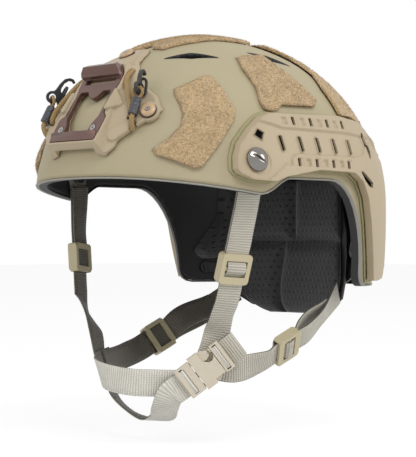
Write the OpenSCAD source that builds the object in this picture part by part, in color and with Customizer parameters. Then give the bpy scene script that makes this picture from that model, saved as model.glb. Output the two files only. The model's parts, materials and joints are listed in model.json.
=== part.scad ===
/* [Shell] */
// Half the outside width at the widest level
shell_half_w = 112.5; // [108:0.5:116]
// Outside length from the middle to the brow
shell_front = 130.5; // [128:0.5:136]
// Outside length from the middle to the nape
shell_rear = 141.5; // [138:0.5:145]
// Height of the crown over the brow edge
crown_h = 111.5; // [106:0.5:114]
// Depth of the widest level below the brow edge
widest_drop = 18; // [14:1:22]
// How far down the walls would take to close below that level
skirt_c = 275; // [250:5:300]
// Squareness of the front half seen from above, where 2 is an ellipse
front_n = 2.4; // [2.3:0.02:2.5]
// Squareness of the rear half seen from above
rear_n = 2.6; // [2.5:0.02:2.7]
// Squareness of the shell seen from the side
side_n = 2.06; // [2:0.02:2.2]
// Thickness of the shell wall
wall = 7; // [6:0.25:8]
// Depth of the temple tip below the brow edge
temple_drop = 12; // [8:0.5:14]
// Depth of the nape edge below the brow edge
nape_drop = 80; // [76:0.5:84]
// Place of the ear arch's front foot behind the middle
ear_front_y = -46; // [-50:0.5:-42]
// Place where the ear arch reaches its full height
ear_top_y = -18; // [-22:0.5:-14]
// Place where the ear arch starts down to the nape
ear_bend_y = 28; // [25:0.5:32]
// Place of the ear arch's rear upright
ear_rear_y = 71; // [68:0.5:75]
// Radius of the nape corner
nape_corner_r = 10; // [8:0.5:12]
// Length of a vent slot
vent_len = 40; // [36:1:44]
// Width of a vent slot in its middle
vent_w = 10; // [8:0.5:12]

/* [Edge seal] */
// Height of the edge seal under the rim
seal_h = 1.25; // [1:0.25:2]
// How far the edge seal stands out from the wall on each side
seal_side = 0.6; // [0.4:0.1:0.8]

/* [Liner] */
// Thickness of the impact liner
liner_t = 12; // [10:0.5:14]
// Thickness of the comfort pads
pad_t = 9; // [7:0.5:10]
// Thickness of the vent screens
screen_t = 0.8; // [0.6:0.1:1]

/* [Loop panels] */
// Thickness of the loop panels
loop_t = 2.4; // [1.8:0.1:3]

/* [Shroud] */
// Lean of the shroud's face back from upright
shroud_lean = 32.5; // [31:0.5:34]
// Depth of the foot of the shroud's face before the middle
shroud_foot_y = 133.3; // [132.5:0.1:134]
// Height of the foot of the shroud's face over the brow edge
shroud_foot_z = 27.7; // [27:0.1:28.5]
// Height of the metal insert along its face
insert_h = 66.5; // [64.5:0.5:68]
// Width of the metal insert at its foot
insert_foot_w = 51.5; // [50:0.5:53]
// Width of the metal insert under its top lip
insert_top_w = 44; // [42:0.5:45]
// Thickness of the metal insert
insert_t = 3.5; // [3:0.25:4]
// Height of the insert's top lip over its face
lip_out = 6; // [4:0.5:8]
// Diameter of the insert's screw heads
screw_d = 5.2; // [4.8:0.1:5.6]
// Thickness of the shroud base on the shell
base_t = 4; // [3:0.25:5]
// Diameter of the shroud's finishing buttons
button_d = 11.6; // [10:0.2:12]
// Diameter of the shroud's elastic cord
cord_d = 3.8; // [3:0.2:4.2]
// Diameter of the sleeve on the cord
sleeve_d = 7; // [6:0.2:7.4]

/* [Rails] */
// Height of the rail's face over the shell
rail_out = 9; // [8:0.25:10]
// Thickness of the gasket under the rail
gasket_t = 1.2; // [0.8:0.1:1.6]
// Distance between two slots of the rail
slot_pitch = 18.7; // [18:0.1:19]
// Width of a rail slot
slot_w = 3.6; // [3:0.2:4.4]
// Length of a rail slot
slot_len = 12; // [10:0.5:13]
// Place of the first slot behind the middle
slot_first_y = -30; // [-32:0.5:-29]
// Diameter of the domed rail bolt
bolt_d = 17; // [15:0.5:18]
// Diameter of the bolt shanks
shank_d = 5; // [4:0.5:6]

/* [Straps] */
// Width of the webbing
web_w = 20; // [18:0.5:21]
// Thickness of the webbing
web_t = 1.5; // [1.2:0.1:1.8]
// Length of a strap adjuster along the strap
adjuster_len = 23; // [21:0.5:25]
// Travel of a strap adjuster each way
adjuster_travel = 9; // [6:1:10]

/* [Buckle] */
// Width of the buckle's mouth
buckle_w = 27; // [26:0.5:29]
// Length of the socket half
socket_len = 26; // [24:0.5:28]
// Thickness of the buckle
buckle_t = 8; // [7:0.25:9]

/* [Nape cradle] */
// Radius of the nape pad's face round the head
nape_r = 146; // [140:1:152]
// Place of the nape pad's face behind the middle
nape_face_y = 102; // [100:0.5:103]
// Half the width of the nape pad
nape_half_w = 58; // [55:0.5:60]
// Depth of the nape pad's foot below the brow edge
nape_pad_drop = 106; // [103:1:108]
// Thickness of the nape pad
nape_pad_t = 8; // [7:0.25:9]
// Thickness of the nape plate
plate_t = 2.5; // [2:0.25:3]
// Diameter of the fit dial
dial_d = 24; // [22:0.5:25]
// Depth of the dial's axis below the brow edge
dial_drop = 86; // [84:0.5:88]

/* [Clearances] */
// Gap between soft pieces and what they lie on
soft_gap = 0.35; // [0.3:0.05:0.5]
// Gap between hard pieces that are fastened together
seat_gap = 0.25; // [0.15:0.05:0.35]
// Gap round a bolt or a strap in its hole
run_gap = 0.4; // [0.3:0.05:0.5]

/* [Hidden] */
tan_shell = [0.72, 0.68, 0.55];
tan_rail = [0.78, 0.73, 0.62];
loop_tan = [0.76, 0.64, 0.46];
bronze = [0.46, 0.35, 0.32];
black = [0.13, 0.13, 0.13];
dark_web = [0.35, 0.33, 0.28];
light_web = [0.74, 0.72, 0.65];
z_wide = -widest_drop;
top_c = crown_h + widest_drop;
eps = 0.01;

// Helpers for curves and vectors
function mix(a, b, t) = a + (b - a) * t;
function smooth(t) = t * t * (3 - 2 * t);
function unit(v) = v / norm(v);
function pn(y) = y < 0 ? front_n : rear_n;
function pw(v, y) = pow(abs(v), pn(y));
function root(v, y) = pow(max(v, 0.0001), 1 / pn(y));
function spw(v) = pow(abs(v), side_n);
function sroot(v) = pow(max(v, 0.0001), 1 / side_n);
function mirrored(list) = [for (p = list) [-p.x, p.y, p.z]];

// The shell's outside surface, raised by l millimetres
function ax(l) = shell_half_w + l;
function by(y, l) = (y < 0 ? shell_front : shell_rear) + l;
function cz(z, l) = (z > z_wide ? top_c : skirt_c) + l;
function level(z, l) = sroot(1 - spw((z - z_wide) / cz(z, l)));
function side_p(y, z, l) = let (r = level(z, l))
    [ax(l) * r * root(1 - pw(y / (by(y, l) * r), y), y), y, z];
function front_p(x, z, l) = let (r = level(z, l))
    [x, -by(-1, l) * r * root(1 - pw(x / (ax(l) * r), -1), -1), z];
function rear_p(x, z, l) = let (r = level(z, l))
    [x, by(1, l) * r * root(1 - pw(x / (ax(l) * r), 1), 1), z];
function flat_size(x, y, l) = root(pw(x / ax(l), y) + pw(y / by(y, l), y), y);
function top_p(x, y, l) = [x, y, z_wide + cz(z_wide + 1, l) * sroot(1 - spw(flat_size(x, y, l)))];
function slope(v, s, n) = (v < 0 ? -1 : 1) * pow(abs(v / s), n - 1) / s;
function out_dir(p) = let (k = pow(flat_size(p.x, p.y, 0), side_n - pn(p.y)))
    unit([k * slope(p.x, ax(0), pn(p.y)), k * slope(p.y, by(p.y, 0), pn(p.y)),
        slope(p.z - z_wide, cz(p.z, 0), side_n)]);

// Rim of the shell as stations of plan direction and height
function plan_dir(t) = let (v = sin(t)) [cos(t), v] / root(pw(cos(t), v) + pw(v, v), v);
function plan_at(y, z) = let (s = y / (by(y, 0) * level(z, 0)))
    [root(1 - pw(s, y), y), s];
function plan_angle(y, z) = let (d = plan_at(y, z)) atan2(d.y, d.x);
function brow_z(y) = -temple_drop * (y + shell_front) / (ear_front_y + shell_front);
ear_front_len = ear_top_y - ear_front_y;
arch_h = nape_drop - nape_corner_r;
arch_len = ear_rear_y - ear_bend_y;
ear_profile = concat(
    [for (u = [0 : 1 / 6 : 1]) [ear_front_y + u * ear_front_len, -temple_drop * (1 - smooth(u))]],
    [for (u = [0.25 : 0.25 : 0.75]) [mix(ear_top_y, ear_bend_y, u), 0]],
    [for (a = [90 : -9 : 0]) [ear_bend_y + arch_len * cos(a), arch_h * (sin(a) - 1)]],
    [for (a = [202.5 : 22.5 : 270])
        [ear_rear_y + nape_corner_r * (1 + cos(a)), -arch_h + nape_corner_r * sin(a)]]);
front_end = plan_angle(ear_front_y, -temple_drop) - 5;
rear_start = plan_angle(ear_rear_y + nape_corner_r, -nape_drop) + 6;
half_rim = concat(
    [for (u = [0 : 1 / 9 : 1]) let (d = plan_dir(mix(-90, front_end, u)))
        [d.x, d.y, brow_z(shell_front * d.y)]],
    [for (p = ear_profile) let (d = plan_at(p.x, p.y)) [d.x, d.y, p.y]],
    [for (u = [0 : 1 / 6 : 1]) let (d = plan_dir(mix(rear_start, 90, u))) [d.x, d.y, -nape_drop]]);
function ring_of(half) = concat(half,
    [for (i = [len(half) - 2 : -1 : 1]) [-half[i].x, half[i].y, half[i].z]]);
rim = ring_of(half_rim);

// Point m of the way from a station to the crown, raised by l
function rise(st, l, m) = let (
    k = (st.z - z_wide) / cz(st.z, l),
    a0 = atan2(k, sroot(1 - spw(k))),
    a = mix(a0, 90, m),
    d = sroot(spw(sin(a)) + spw(cos(a))),
    c = (a < 0 ? skirt_c : top_c) + l)
    [ax(l) * st.x * cos(a) / d, by(st.y, l) * st.y * cos(a) / d, z_wide + c * sin(a) / d];

// Closed solid from points and faces, turned so that its faces look outward
function total(list) = list * [for (v = list) 1];
module closed(points, faces) {
    v = total([for (f = faces) points[f[0]] * cross(points[f[1]], points[f[2]])]);
    turned = [for (f = faces) [for (i = [len(f) - 1 : -1 : 0]) f[i]]];
    polyhedron(points, v > 0 ? turned : faces, convexity = 6);
}

// Closed solid between two surfaces over a ring of stations
module dome(stations, outer, inner, rows) {
    n = len(stations);
    points = concat(
        [for (j = [0 : rows - 1]) for (i = [0 : n - 1]) rise(stations[i], outer, j / rows)],
        [for (j = [0 : rows - 1]) for (i = [0 : n - 1]) rise(stations[i], inner, j / rows)],
        [[0, 0, crown_h + outer], [0, 0, crown_h + inner]]);
    low = n * rows;
    faces = concat(
        [for (j = [0 : rows - 2]) for (i = [0 : n - 1]) let (a = j * n + i, b = j * n + (i + 1) % n)
            each [[a, b + n, b], [a, a + n, b + n]]],
        [for (j = [0 : rows - 2]) for (i = [0 : n - 1])
            let (a = low + j * n + i, b = low + j * n + (i + 1) % n)
            each [[a, b, b + n], [a, b + n, a + n]]],
        [for (i = [0 : n - 1]) let (a = (rows - 1) * n + i, b = (rows - 1) * n + (i + 1) % n)
            each [[a, 2 * low, b], [low + a, low + b, 2 * low + 1]]],
        [for (i = [0 : n - 1]) let (b = (i + 1) % n) each [[i, b, low + b], [i, low + b, low + i]]]);
    closed(points, faces);
}

// Closed solid between two grids of points, the first on the outside
module slab(top, low) {
    r = len(top);
    c = len(top[0]);
    n = r * c;
    points = concat([for (row = top) each row], [for (row = low) each row]);
    faces = concat(
        [for (i = [0 : r - 2]) for (j = [0 : c - 2]) let (a = i * c + j)
            each [[a, a + c + 1, a + c], [a, a + 1, a + c + 1],
                [n + a, n + a + c, n + a + c + 1], [n + a, n + a + c + 1, n + a + 1]]],
        [for (i = [0 : r - 2]) let (a = i * c, b = i * c + c - 1)
            each [[a, a + c, n + a + c], [a, n + a + c, n + a],
                [b, n + b + c, b + c], [b, n + b, n + b + c]]],
        [for (j = [0 : c - 2]) let (a = j, b = (r - 1) * c + j)
            each [[a, n + a + 1, a + 1], [a, n + a, n + a + 1],
                [b, b + 1, n + b + 1], [b, n + b + 1, n + b]]]);
    closed(points, faces);
}

// Closed outline with every edge split into pieces no longer than step
function dense(list, step) = let (n = len(list)) [for (i = [0 : n - 1])
    let (a = list[i], b = list[(i + 1) % n], k = ceil(norm(b - a) / step))
    for (j = [0 : k - 1]) mix(a, b, j / k)];

// Smooth curve through a list of points or of point and normal pairs
function bend(a, b, c, d, t) = 0.5 * (2 * b + (c - a) * t + (2 * a - 5 * b + 4 * c - d) * t * t
    + (3 * b - a - 3 * c + d) * t * t * t);
function curve(list, steps) = let (n = len(list)) concat(
    [for (i = [0 : n - 2]) for (k = [0 : steps - 1])
        let (a = list[max(i - 1, 0)], b = list[i], c = list[i + 1], d = list[min(i + 2, n - 1)])
        bend(a, b, c, d, k / steps)], [list[n - 1]]);

// Flat webbing along a route of points and outward normals
module webbing(route, width, thick) {
    n = len(route);
    frames = [for (i = [0 : n - 1]) let (
        t = unit(route[min(i + 1, n - 1)][0] - route[max(i - 1, 0)][0]),
        side = unit(cross(t, route[i][1])),
        out = cross(side, t)) [route[i][0], side * width / 2, out * thick / 2]];
    slab([for (f = frames) [f[0] + f[1] + f[2], f[0] - f[1] + f[2]]],
        [for (f = frames) [f[0] + f[1] - f[2], f[0] - f[1] - f[2]]]);
}

// Round cord along a list of points
module cord(path, d, sides, across = [1, 0, 0]) {
    n = len(path);
    rings = [for (i = [0 : n - 1]) let (
        t = unit(path[min(i + 1, n - 1)] - path[max(i - 1, 0)]),
        u = unit(cross(t, across)),
        v = cross(t, u))
        for (k = [0 : sides - 1]) path[i] + d / 2 * (u * cos(360 * k / sides) + v * sin(360 * k / sides))];
    faces = concat(
        [for (i = [0 : n - 2]) for (k = [0 : sides - 1])
            let (a = i * sides + k, b = i * sides + (k + 1) % sides)
            each [[a, a + sides, b + sides], [a, b + sides, b]]],
        [[for (k = [0 : sides - 1]) k]],
        [[for (k = [sides - 1 : -1 : 0]) (n - 1) * sides + k]]);
    closed(rings, faces);
}

// Places children with Z along the outward normal and Y up the surface
module on_surface(p) {
    n = out_dir(p);
    translate(p) rotate([0, 0, atan2(n.x, -n.y)]) rotate([90 - asin(n.z), 0, 0]) children();
}

// Places children with X along a strap, Y across it and Z along its outward normal
module on_strap(p, along, out) {
    t = unit(along);
    w = unit(cross(out, t));
    n = cross(t, w);
    multmatrix([[t.x, w.x, n.x, p.x], [t.y, w.y, n.y, p.y], [t.z, w.z, n.z, p.z], [0, 0, 0, 1]])
        children();
}

// The other side of the helmet
module right_side() {
    mirror([1, 0, 0]) children();
}

// Vents
vent_centres = [[46, -56], [59, 14]];
vent_turns = [3, -20];
function vent_p(i) = top_p(vent_centres[i].x, vent_centres[i].y, 0);
module vent_tool(i, grow, depth) {
    on_surface(vent_p(i)) rotate([0, 0, vent_turns[i]]) for (s = [-1, 1]) hull() {
        translate([0, 0, -depth]) cylinder(h = 2 * depth, d = vent_w + 2 * grow, $fn = 20);
        translate([s * (vent_len / 2 - 1), 0, -depth])
            cylinder(h = 2 * depth, r = 1 + grow, $fn = 12);
    }
}
module both_sides() {
    children();
    mirror([1, 0, 0]) children();
}

// Places of the fastenings on the left side, as side-view Y and Z
rail_bolt_yz = [-52, 10];
rear_screw_yz = [92, -69];
rail_bolt_p = side_p(rail_bolt_yz.x, rail_bolt_yz.y, 0);
rear_screw_p = side_p(rear_screw_yz.x, rear_screw_yz.y, 0);

module shell() {
    color(tan_shell) difference() {
        dome(rim, 0, -wall, 8);
        for (i = [0, 1]) both_sides() vent_tool(i, 0, 3 * wall);
        both_sides() on_surface(rail_bolt_p)
            translate([0, 0, -2 * wall]) cylinder(h = 3 * wall, d = shank_d + 2 * run_gap, $fn = 20);
        both_sides() on_surface(rear_screw_p)
            translate([0, 0, -2 * wall]) cylinder(h = 3 * wall, d = shank_d + 2 * run_gap, $fn = 20);
        at_buttons() translate([0, 0, -2 * wall])
            cylinder(h = 3 * wall, d = button_shank_d + 2 * seat_gap, $fn = 12);
    }
}

// Closed strip between four rings of points, each a corner of its section
module loop_strip(rings) {
    n = len(rings[0]);
    closed([for (r = rings) each r], [for (k = [0 : 3]) for (i = [0 : n - 1])
        let (a = k * n + i, b = k * n + (i + 1) % n, c = ((k + 1) % 4) * n + (i + 1) % n,
            d = ((k + 1) % 4) * n + i) each [[a, b, c], [a, c, d]]]);
}

// Seal hung under the rim, square to the rim's run
module edge_seal() {
    n = len(rim);
    outer = [for (st = rim) rise(st, seal_side, 0)];
    inner = [for (st = rim) rise(st, -wall - seal_side, 0)];
    down = [for (i = [0 : n - 1]) let (
        t = unit(outer[(i + 1) % n] - outer[(i + n - 1) % n]),
        w = unit(outer[i] - inner[i]),
        d = unit(cross(t, w))) d];
    near = [for (i = [0 : n - 1]) down[i] * seat_gap];
    far = [for (i = [0 : n - 1]) down[i] * (seat_gap + seal_h)];
    color([0.7, 0.7, 0.64]) loop_strip([inner + near, outer + near, outer + far, inner + far]);
}

// Fine screens behind the vents
module vent_screens() {
    color(black) for (i = [0, 1]) both_sides()
        intersection() {
            vent_tool(i, 0.5, wall + 5);
            on_surface(vent_p(i)) translate([-vent_len, -vent_len, -wall - 4.3])
                cube([2 * vent_len, 2 * vent_len, screen_t]);
        }
}

// Room that the flat facets of pieces lying on the shell need
loop_lift = soft_gap + 0.2;
rear_lift = soft_gap + 1;

// Side-view lofts on the shell between two lists of Y and Z
function loft(a, b, steps) = [for (i = [0 : len(a) - 1]) [for (j = [0 : steps]) mix(a[i], b[i], j / steps)]];
module side_panel(a, b, steps, low, high) {
    g = loft(a, b, steps);
    slab([for (row = g) [for (p = row) side_p(p.x, p.y, high)]],
        [for (row = g) [for (p = row) side_p(p.x, p.y, low)]]);
}

chevron_inner = [[-86, 63], [-88, 59], [-89, 51], [-90, 44], [-94, 35], [-102, 26], [-111, 18], [-110, 14]];
chevron_outer = [[-65, 73], [-61, 73], [-59, 60], [-57, 47], [-60, 41], [-75, 23], [-89, 6], [-93, 5]];
module chevron_loop_left() {
    color(loop_tan) side_panel(chevron_inner, chevron_outer, 4, loop_lift, loop_lift + loop_t);
}
module chevron_loop_right() {
    right_side() chevron_loop_left();
}

rear_side_low = [[-30, 81], [-29, 67], [-32, 54], [-31, 50], [-26, 48], [-19, 50], [-14, 54], [5, 54.5], [24, 55]];
rear_side_high = [[-25, 91], [-19, 92], [-10, 93], [-3, 94], [3, 95], [7, 88], [14, 79], [22, 70], [30, 60]];
module rear_side_loop_left() {
    color(loop_tan) side_panel(rear_side_high, rear_side_low, 4, loop_lift, loop_lift + loop_t);
}
module rear_side_loop_right() {
    right_side() rear_side_loop_left();
}

// Loop panel over the crown, notched in the middle of its front edge
top_notch = [[31, -36], [27, -48], [20, -61], [8, -60], [0, -48]];
top_rear_y = 23;
module top_loop_panel() {
    front = concat(top_notch, [for (i = [3 : -1 : 0]) [-top_notch[i].x, top_notch[i].y]]);
    g = loft(front, [for (p = front) [0.97 * p.x, top_rear_y]], 8);
    color(loop_tan) slab([for (row = g) [for (p = row) top_p(p.x, p.y, loop_lift + loop_t)]],
        [for (row = g) [for (p = row) top_p(p.x, p.y, loop_lift)]]);
}

// Panel over the back: left edge points, each with its row's height at the middle
rear_rows = [[[34, 28, 107], 109.8], [[43, 41, 101], 104], [[50, 52, 97], 98], [[62, 53, 84], 88],
    [[78, 49, 71], 76], [[92, 54, 50], 57], [[90, 73, 50], 46], [[86, 85, 46], 37], [[82, 96, 36], 26],
    [[80, 103, 20], 10], [[78, 105, 0], -8], [[76, 107, -38], -38]];
function ring_point(a, z, l) = let (d = plan_dir(a), r = level(z, l))
    [ax(l) * d.x * r, by(d.y, l) * d.y * r, z];
function turn_of(p) = atan2(p.y / shell_rear, p.x / shell_half_w);
function rear_grid(l) = [for (row = rear_rows) [for (u = [-1 : 1 / 6 : 1])
    ring_point(mix(90, u < 0 ? 180 - turn_of(row[0]) : turn_of(row[0]), abs(u)),
        mix(row[1], row[0].z, u * u), l)]];
module rear_loop_panel() {
    color(loop_tan) slab(rear_grid(rear_lift + loop_t), rear_grid(rear_lift));
}

// Impact liner, cut back round the strap bolts at the sides
liner_out = -wall - 3 * soft_gap;
liner_in = liner_out - liner_t;
liner_ring = ring_of([for (u = [0 : 1 / 18 : 1]) let (d = plan_dir(mix(-90, 90, u)))
    [d.x, d.y, 10 + 16 * d.x * d.x]]);
module impact_liner() {
    color(black) difference() {
        dome(liner_ring, liner_out, liner_in, 6);
        for (i = [0, 1]) both_sides() vent_tool(i, 1, wall + 5.5);
    }
}

// Comfort pads: a face that swells between drawn-in sides, on a formed back
function pad_face(u, v, deep) = let (a = 1 - pow(abs(2 * u - 1), 4), b = 1 - pow(abs(2 * v - 1), 4))
    mix(0.35, 1, pow(a * b, 0.5)) * deep;
function draw_in(u) = 0.5 + (u - 0.5) * (1 - 0.05 * cos(180 * (u - 0.5)));
pad_back = liner_in - soft_gap - 1;
module crown_pad() {
    n = 8;
    hx = 42;
    hy = 52;
    back = [for (i = [0 : n]) [for (j = [0 : n])
        let (x = hx * (2 * i / n - 1), y = hy * (2 * j / n - 1)) top_p(x, y, pad_back)]];
    face = [for (i = [0 : n]) [for (j = [0 : n])
        let (x = hx * (2 * i / n - 1), y = hy * (2 * j / n - 1))
        top_p(x, y, pad_back - pad_face(i / n, j / n, pad_t) * (1 - 0.3 * exp(-pow(x / 4, 2))))]];
    color(black) slab(back, face);
}
module front_pad() {
    n = 12;
    m = 6;
    hx = 63;
    back = [for (j = [0 : m]) [for (i = [0 : n])
        let (x = hx * (2 * i / n - 1), z = mix(16, 52, j / m)) front_p(x, z, pad_back)]];
    face = [for (j = [0 : m]) [for (i = [0 : n])
        let (x = hx * (2 * i / n - 1), z = mix(16, 52, j / m))
        front_p(x, z, pad_back - pad_face(i / n, j / m, pad_t) * (1 - 0.3 * exp(-pow(x / 4, 2))))]];
    color(black) slab([for (row = face) [for (i = [n : -1 : 0]) row[i]]],
        [for (row = back) [for (i = [n : -1 : 0]) row[i]]]);
}
module side_pad_left() {
    n = 10;
    m = 6;
    back = [for (j = [0 : m]) [for (i = [0 : n])
        let (y = mix(-33, 42, i / n), z = mix(30, 62, j / m)) side_p(y, z, pad_back)]];
    face = [for (j = [0 : m]) [for (i = [0 : n])
        let (y = mix(-33, 42, i / n), z = mix(30, 62, j / m))
        side_p(y, z, pad_back - pad_face(i / n, j / m, pad_t))]];
    color(black) slab([for (row = face) [for (i = [n : -1 : 0]) row[i]]],
        [for (row = back) [for (i = [n : -1 : 0]) row[i]]]);
}
module side_pad_right() {
    right_side() side_pad_left();
}

// Pad on the wall behind the ear, and the loop tab that shows under it
rear_pad_back = -wall - soft_gap - 0.9;
rear_pad_front = [[85, -61], [81, -58], [79, -53], [88, -40], [97, -25], [98, -12], [98, 4]];
rear_pad_rear = [[92, -61], [98, -56], [104, -49], [112, -36], [114, -25], [114, -12], [112, 4]];
module rear_side_pad_left() {
    n = 6;
    m = 12;
    low = curve(rear_pad_front, 2);
    high = curve(rear_pad_rear, 2);
    back = [for (j = [0 : m]) [for (i = [0 : n]) let (p = mix(low[j], high[j], i / n))
        side_p(p.x, p.y, rear_pad_back)]];
    face = [for (j = [0 : m]) [for (i = [0 : n]) let (p = mix(low[j], high[j], i / n))
        side_p(p.x, p.y, rear_pad_back - pad_face(i / n, j / m, pad_t))]];
    color(black) slab([for (row = face) [for (i = [n : -1 : 0]) row[i]]],
        [for (row = back) [for (i = [n : -1 : 0]) row[i]]]);
}
module rear_side_pad_right() {
    right_side() rear_side_pad_left();
}
module liner_loop_tabs() {
    color([0.42, 0.33, 0.26]) both_sides()
        side_panel([[107, -50], [105, -56], [103, -62]], [[115, -50], [113, -56], [111, -62]], 2,
            rear_pad_back - 1.6, rear_pad_back);
}

// Rail along the side and down behind the ear, as a side-view outline
facet_room = 0.9;
rail_low = gasket_t + 2 * seat_gap + facet_room;
rail_outline = [[-69.5, 4], [-68.5, 13], [-64.5, 23], [-54, 34], [-42.5, 43], [-35, 46], [-10, 46.5], [38, 48], [68, 45],
    [76, 40], [90, 33], [97, 18], [100, 0], [102, -40], [102, -66], [97, -75], [86, -77], [77, -77], [73, -55],
    [69, -32], [64.5, -14], [57, -1], [46, 5], [5, 5.5], [-22, 1], [-29, 0], [-40, -4], [-57, -3], [-67, 1]];
gasket_show = 1.5;
gasket_w = 5.4;
module side_slab(low, high) {
    g = [for (z = [-86 : 17.5 : 54]) [for (y = [-80 : 18.6 : 106]) [y, z]]];
    slab([for (row = g) [for (p = row) side_p(p.x, p.y, high)]],
        [for (row = g) [for (p = row) side_p(p.x, p.y, low)]]);
}
module side_prism(outline, from, to) {
    translate([from, 0, 0]) rotate([90, 0, 90]) linear_extrude(height = to - from) polygon(outline);
}
module side_slot(y, z, w, h, tilt, sides) {
    translate([40, y, z]) rotate([90, 0, 90]) rotate(tilt) hull() for (s = [-1, 1])
        translate([0, s * (h - w) / 2, 0]) rotate(180 / sides) cylinder(h = 120, d = w, $fn = sides);
}
module rail_left() {
    color(tan_rail) difference() {
        intersection() {
            side_slab(rail_low, rail_out);
            side_prism(rail_outline, 40, 140);
        }
        for (i = [0 : 4]) side_slot(slot_first_y + i * slot_pitch, 24, slot_w, slot_len, 8, 8);
        for (i = [0 : 3]) side_slot(slot_first_y + 16 + i * slot_pitch, 41, 4.4, 7, 0, 4);
        for (i = [0 : 3]) side_slot(slot_first_y + 14 + i * slot_pitch, 10.5, 4.4, 7, 0, 4);
        side_prism([[-53, 29], [-49, 34], [-44, 31], [-47, 25]], 40, 140);
        side_prism([[66, 36], [69, 37], [76, 22], [75, 17], [72, 17]], 40, 140);
        side_prism([[55, 6], [58, 6.5], [66, 2], [73, -2], [72, -6], [66, -5], [60, -0.5]], 40, 140);
        on_surface(rail_bolt_p) cylinder(h = 30, d = shank_d + 2 * run_gap, $fn = 20);
        on_surface(rail_bolt_p) translate([0, 0, rail_out - 1.5]) cylinder(h = 30, d = bolt_d + 1, $fn = 32);
        on_surface(rear_screw_p) translate([0, 0, -5]) cylinder(h = rail_out, d = shank_d + 2 * run_gap, $fn = 20);
    }
}
module rail_right() {
    right_side() rail_left();
}
// Outline moved outward by d, for a list of points that runs round the piece once
function grown(list, d) = let (n = len(list)) [for (i = [0 : n - 1]) let (
    t = list[(i + 1) % n] - list[(i + n - 1) % n]) list[i] + d * unit([-t.y, t.x])];
module rail_gasket_left() {
    edge = dense(rail_outline, 16);
    outer = grown(edge, gasket_show);
    inner = grown(edge, gasket_show - gasket_w);
    high = seat_gap + gasket_t;
    color([0.55, 0.52, 0.32]) loop_strip([[for (p = inner) side_p(p.x, p.y, seat_gap)],
        [for (p = inner) side_p(p.x, p.y, high)], [for (p = outer) side_p(p.x, p.y, high)],
        [for (p = outer) side_p(p.x, p.y, seat_gap)]]);
}
module rail_gasket_right() {
    right_side() rail_gasket_left();
}

// Domed bolt through rail, shell and strap into its nut
bolt_seat = rail_out - 1.45;
bolt_slot_turn = -35;
strap_in = -wall - 2.35 - web_t / 2;
nut_top = strap_in - web_t / 2 - 2 * seat_gap - 0.1;
nut_t = 3.5;
module rail_bolts() {
    color([0.35, 0.33, 0.32]) both_sides() on_surface(rail_bolt_p) {
        difference() {
            translate([0, 0, bolt_seat]) intersection() {
                cylinder(h = 4.5, d = bolt_d);
                translate([0, 0, -8.5]) sphere(d = 26);
            }
            rotate([0, 0, bolt_slot_turn]) translate([-bolt_d, -1, bolt_seat + 2.8]) cube([2 * bolt_d, 2, 5]);
        }
        translate([0, 0, nut_top - nut_t]) cylinder(h = bolt_seat - nut_top + nut_t, d = shank_d);
    }
}
module strap_nuts() {
    color(black) both_sides() on_surface(rail_bolt_p) translate([0, 0, nut_top - nut_t]) difference() {
        cylinder(h = nut_t, d = 15);
        translate([0, 0, -1]) cylinder(h = nut_t + 2, d = shank_d);
    }
}
module rail_rear_screws() {
    color(black) both_sides() on_surface(rear_screw_p) {
        translate([0, 0, -wall - 3.8]) cylinder(h = 2, d = 10);
        translate([0, 0, -wall - 2]) cylinder(h = wall + 5, d = shank_d);
    }
}

// Shroud face: X across, Y up the face, Z outward, from the middle of its foot
module on_face() {
    translate([0, -shroud_foot_y, shroud_foot_z]) rotate([90 - shroud_lean, 0, 0]) children();
}
function both(half) = concat(half, [for (i = [len(half) - 1 : -1 : 0]) [-half[i].x, half[i].y]]);
insert_back = -4.2;
insert_face = insert_back + insert_t;
lip_v = insert_h - 11.5;
bar_v = lip_v - 4.8;
insert_outline = both([[insert_foot_w / 2 - 0.6, -0.8], [insert_foot_w / 2, 8], [insert_foot_w / 2 + 0.2, 19],
    [21.6, 23], [20.5, 40], [insert_top_w / 2, 48], [insert_top_w / 2, lip_v + 3], [15.5, insert_h]]);
window_outline = both([[13.5, 7.5], [14.2, 13], [18, 20], [18, 40], [17, bar_v - 6.7]]);
tongue_outline = both([[0.5, 37], [4, 38], [8.5, bar_v - 6.7], [8.5, bar_v - 5]]);
slot_outline = both([[17, bar_v], [17, lip_v]]);
screw_u = 18.3;
screw_v = 9.5;
insert_shank_d = 3;
module bar_across(profile, half) {
    translate([-half, 0, 0]) rotate([90, 0, 90]) linear_extrude(height = 2 * half) polygon(profile);
}
module shroud_insert() {
    color(bronze) on_face() difference() {
        union() {
            difference() {
                translate([0, 0, insert_back]) linear_extrude(height = insert_t) polygon(insert_outline);
                translate([0, 0, insert_back - 1]) linear_extrude(height = insert_t + 2)
                    polygon(window_outline);
                translate([0, 0, insert_back - 1]) linear_extrude(height = insert_t + 2)
                    polygon(slot_outline);
            }
            translate([0, 0, insert_back]) linear_extrude(height = insert_t) polygon(tongue_outline);
            bar_across([[-0.8, insert_back], [-0.8, insert_back + 1.8], [5.7, insert_face + 1.8], [6.5, insert_face],
                [6.5, insert_back]], insert_foot_w / 2 - 0.6);
            intersection() {
                bar_across([[lip_v, insert_back], [lip_v + 0.4, 2.5], [lip_v + 6.5, lip_out + 1], [lip_v + 9.5, 5],
                    [insert_h, insert_back]], insert_top_w / 2);
                translate([0, 0, -10]) linear_extrude(height = 30)
                    polygon(both([[21.4, lip_v - 1], [21.4, lip_v + 3], [15.3, insert_h]]));
            }
        }
        for (s = [-1, 1]) translate([s * screw_u, screw_v, insert_back - 1]) {
            cylinder(h = insert_t + 2, d = insert_shank_d + 2 * seat_gap, $fn = 24);
            translate([0, 0, insert_t + 1 - 1.5]) cylinder(h = 20, d = screw_d + 2 * seat_gap, $fn = 32);
        }
    }
}
screw_grip = 7;
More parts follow.
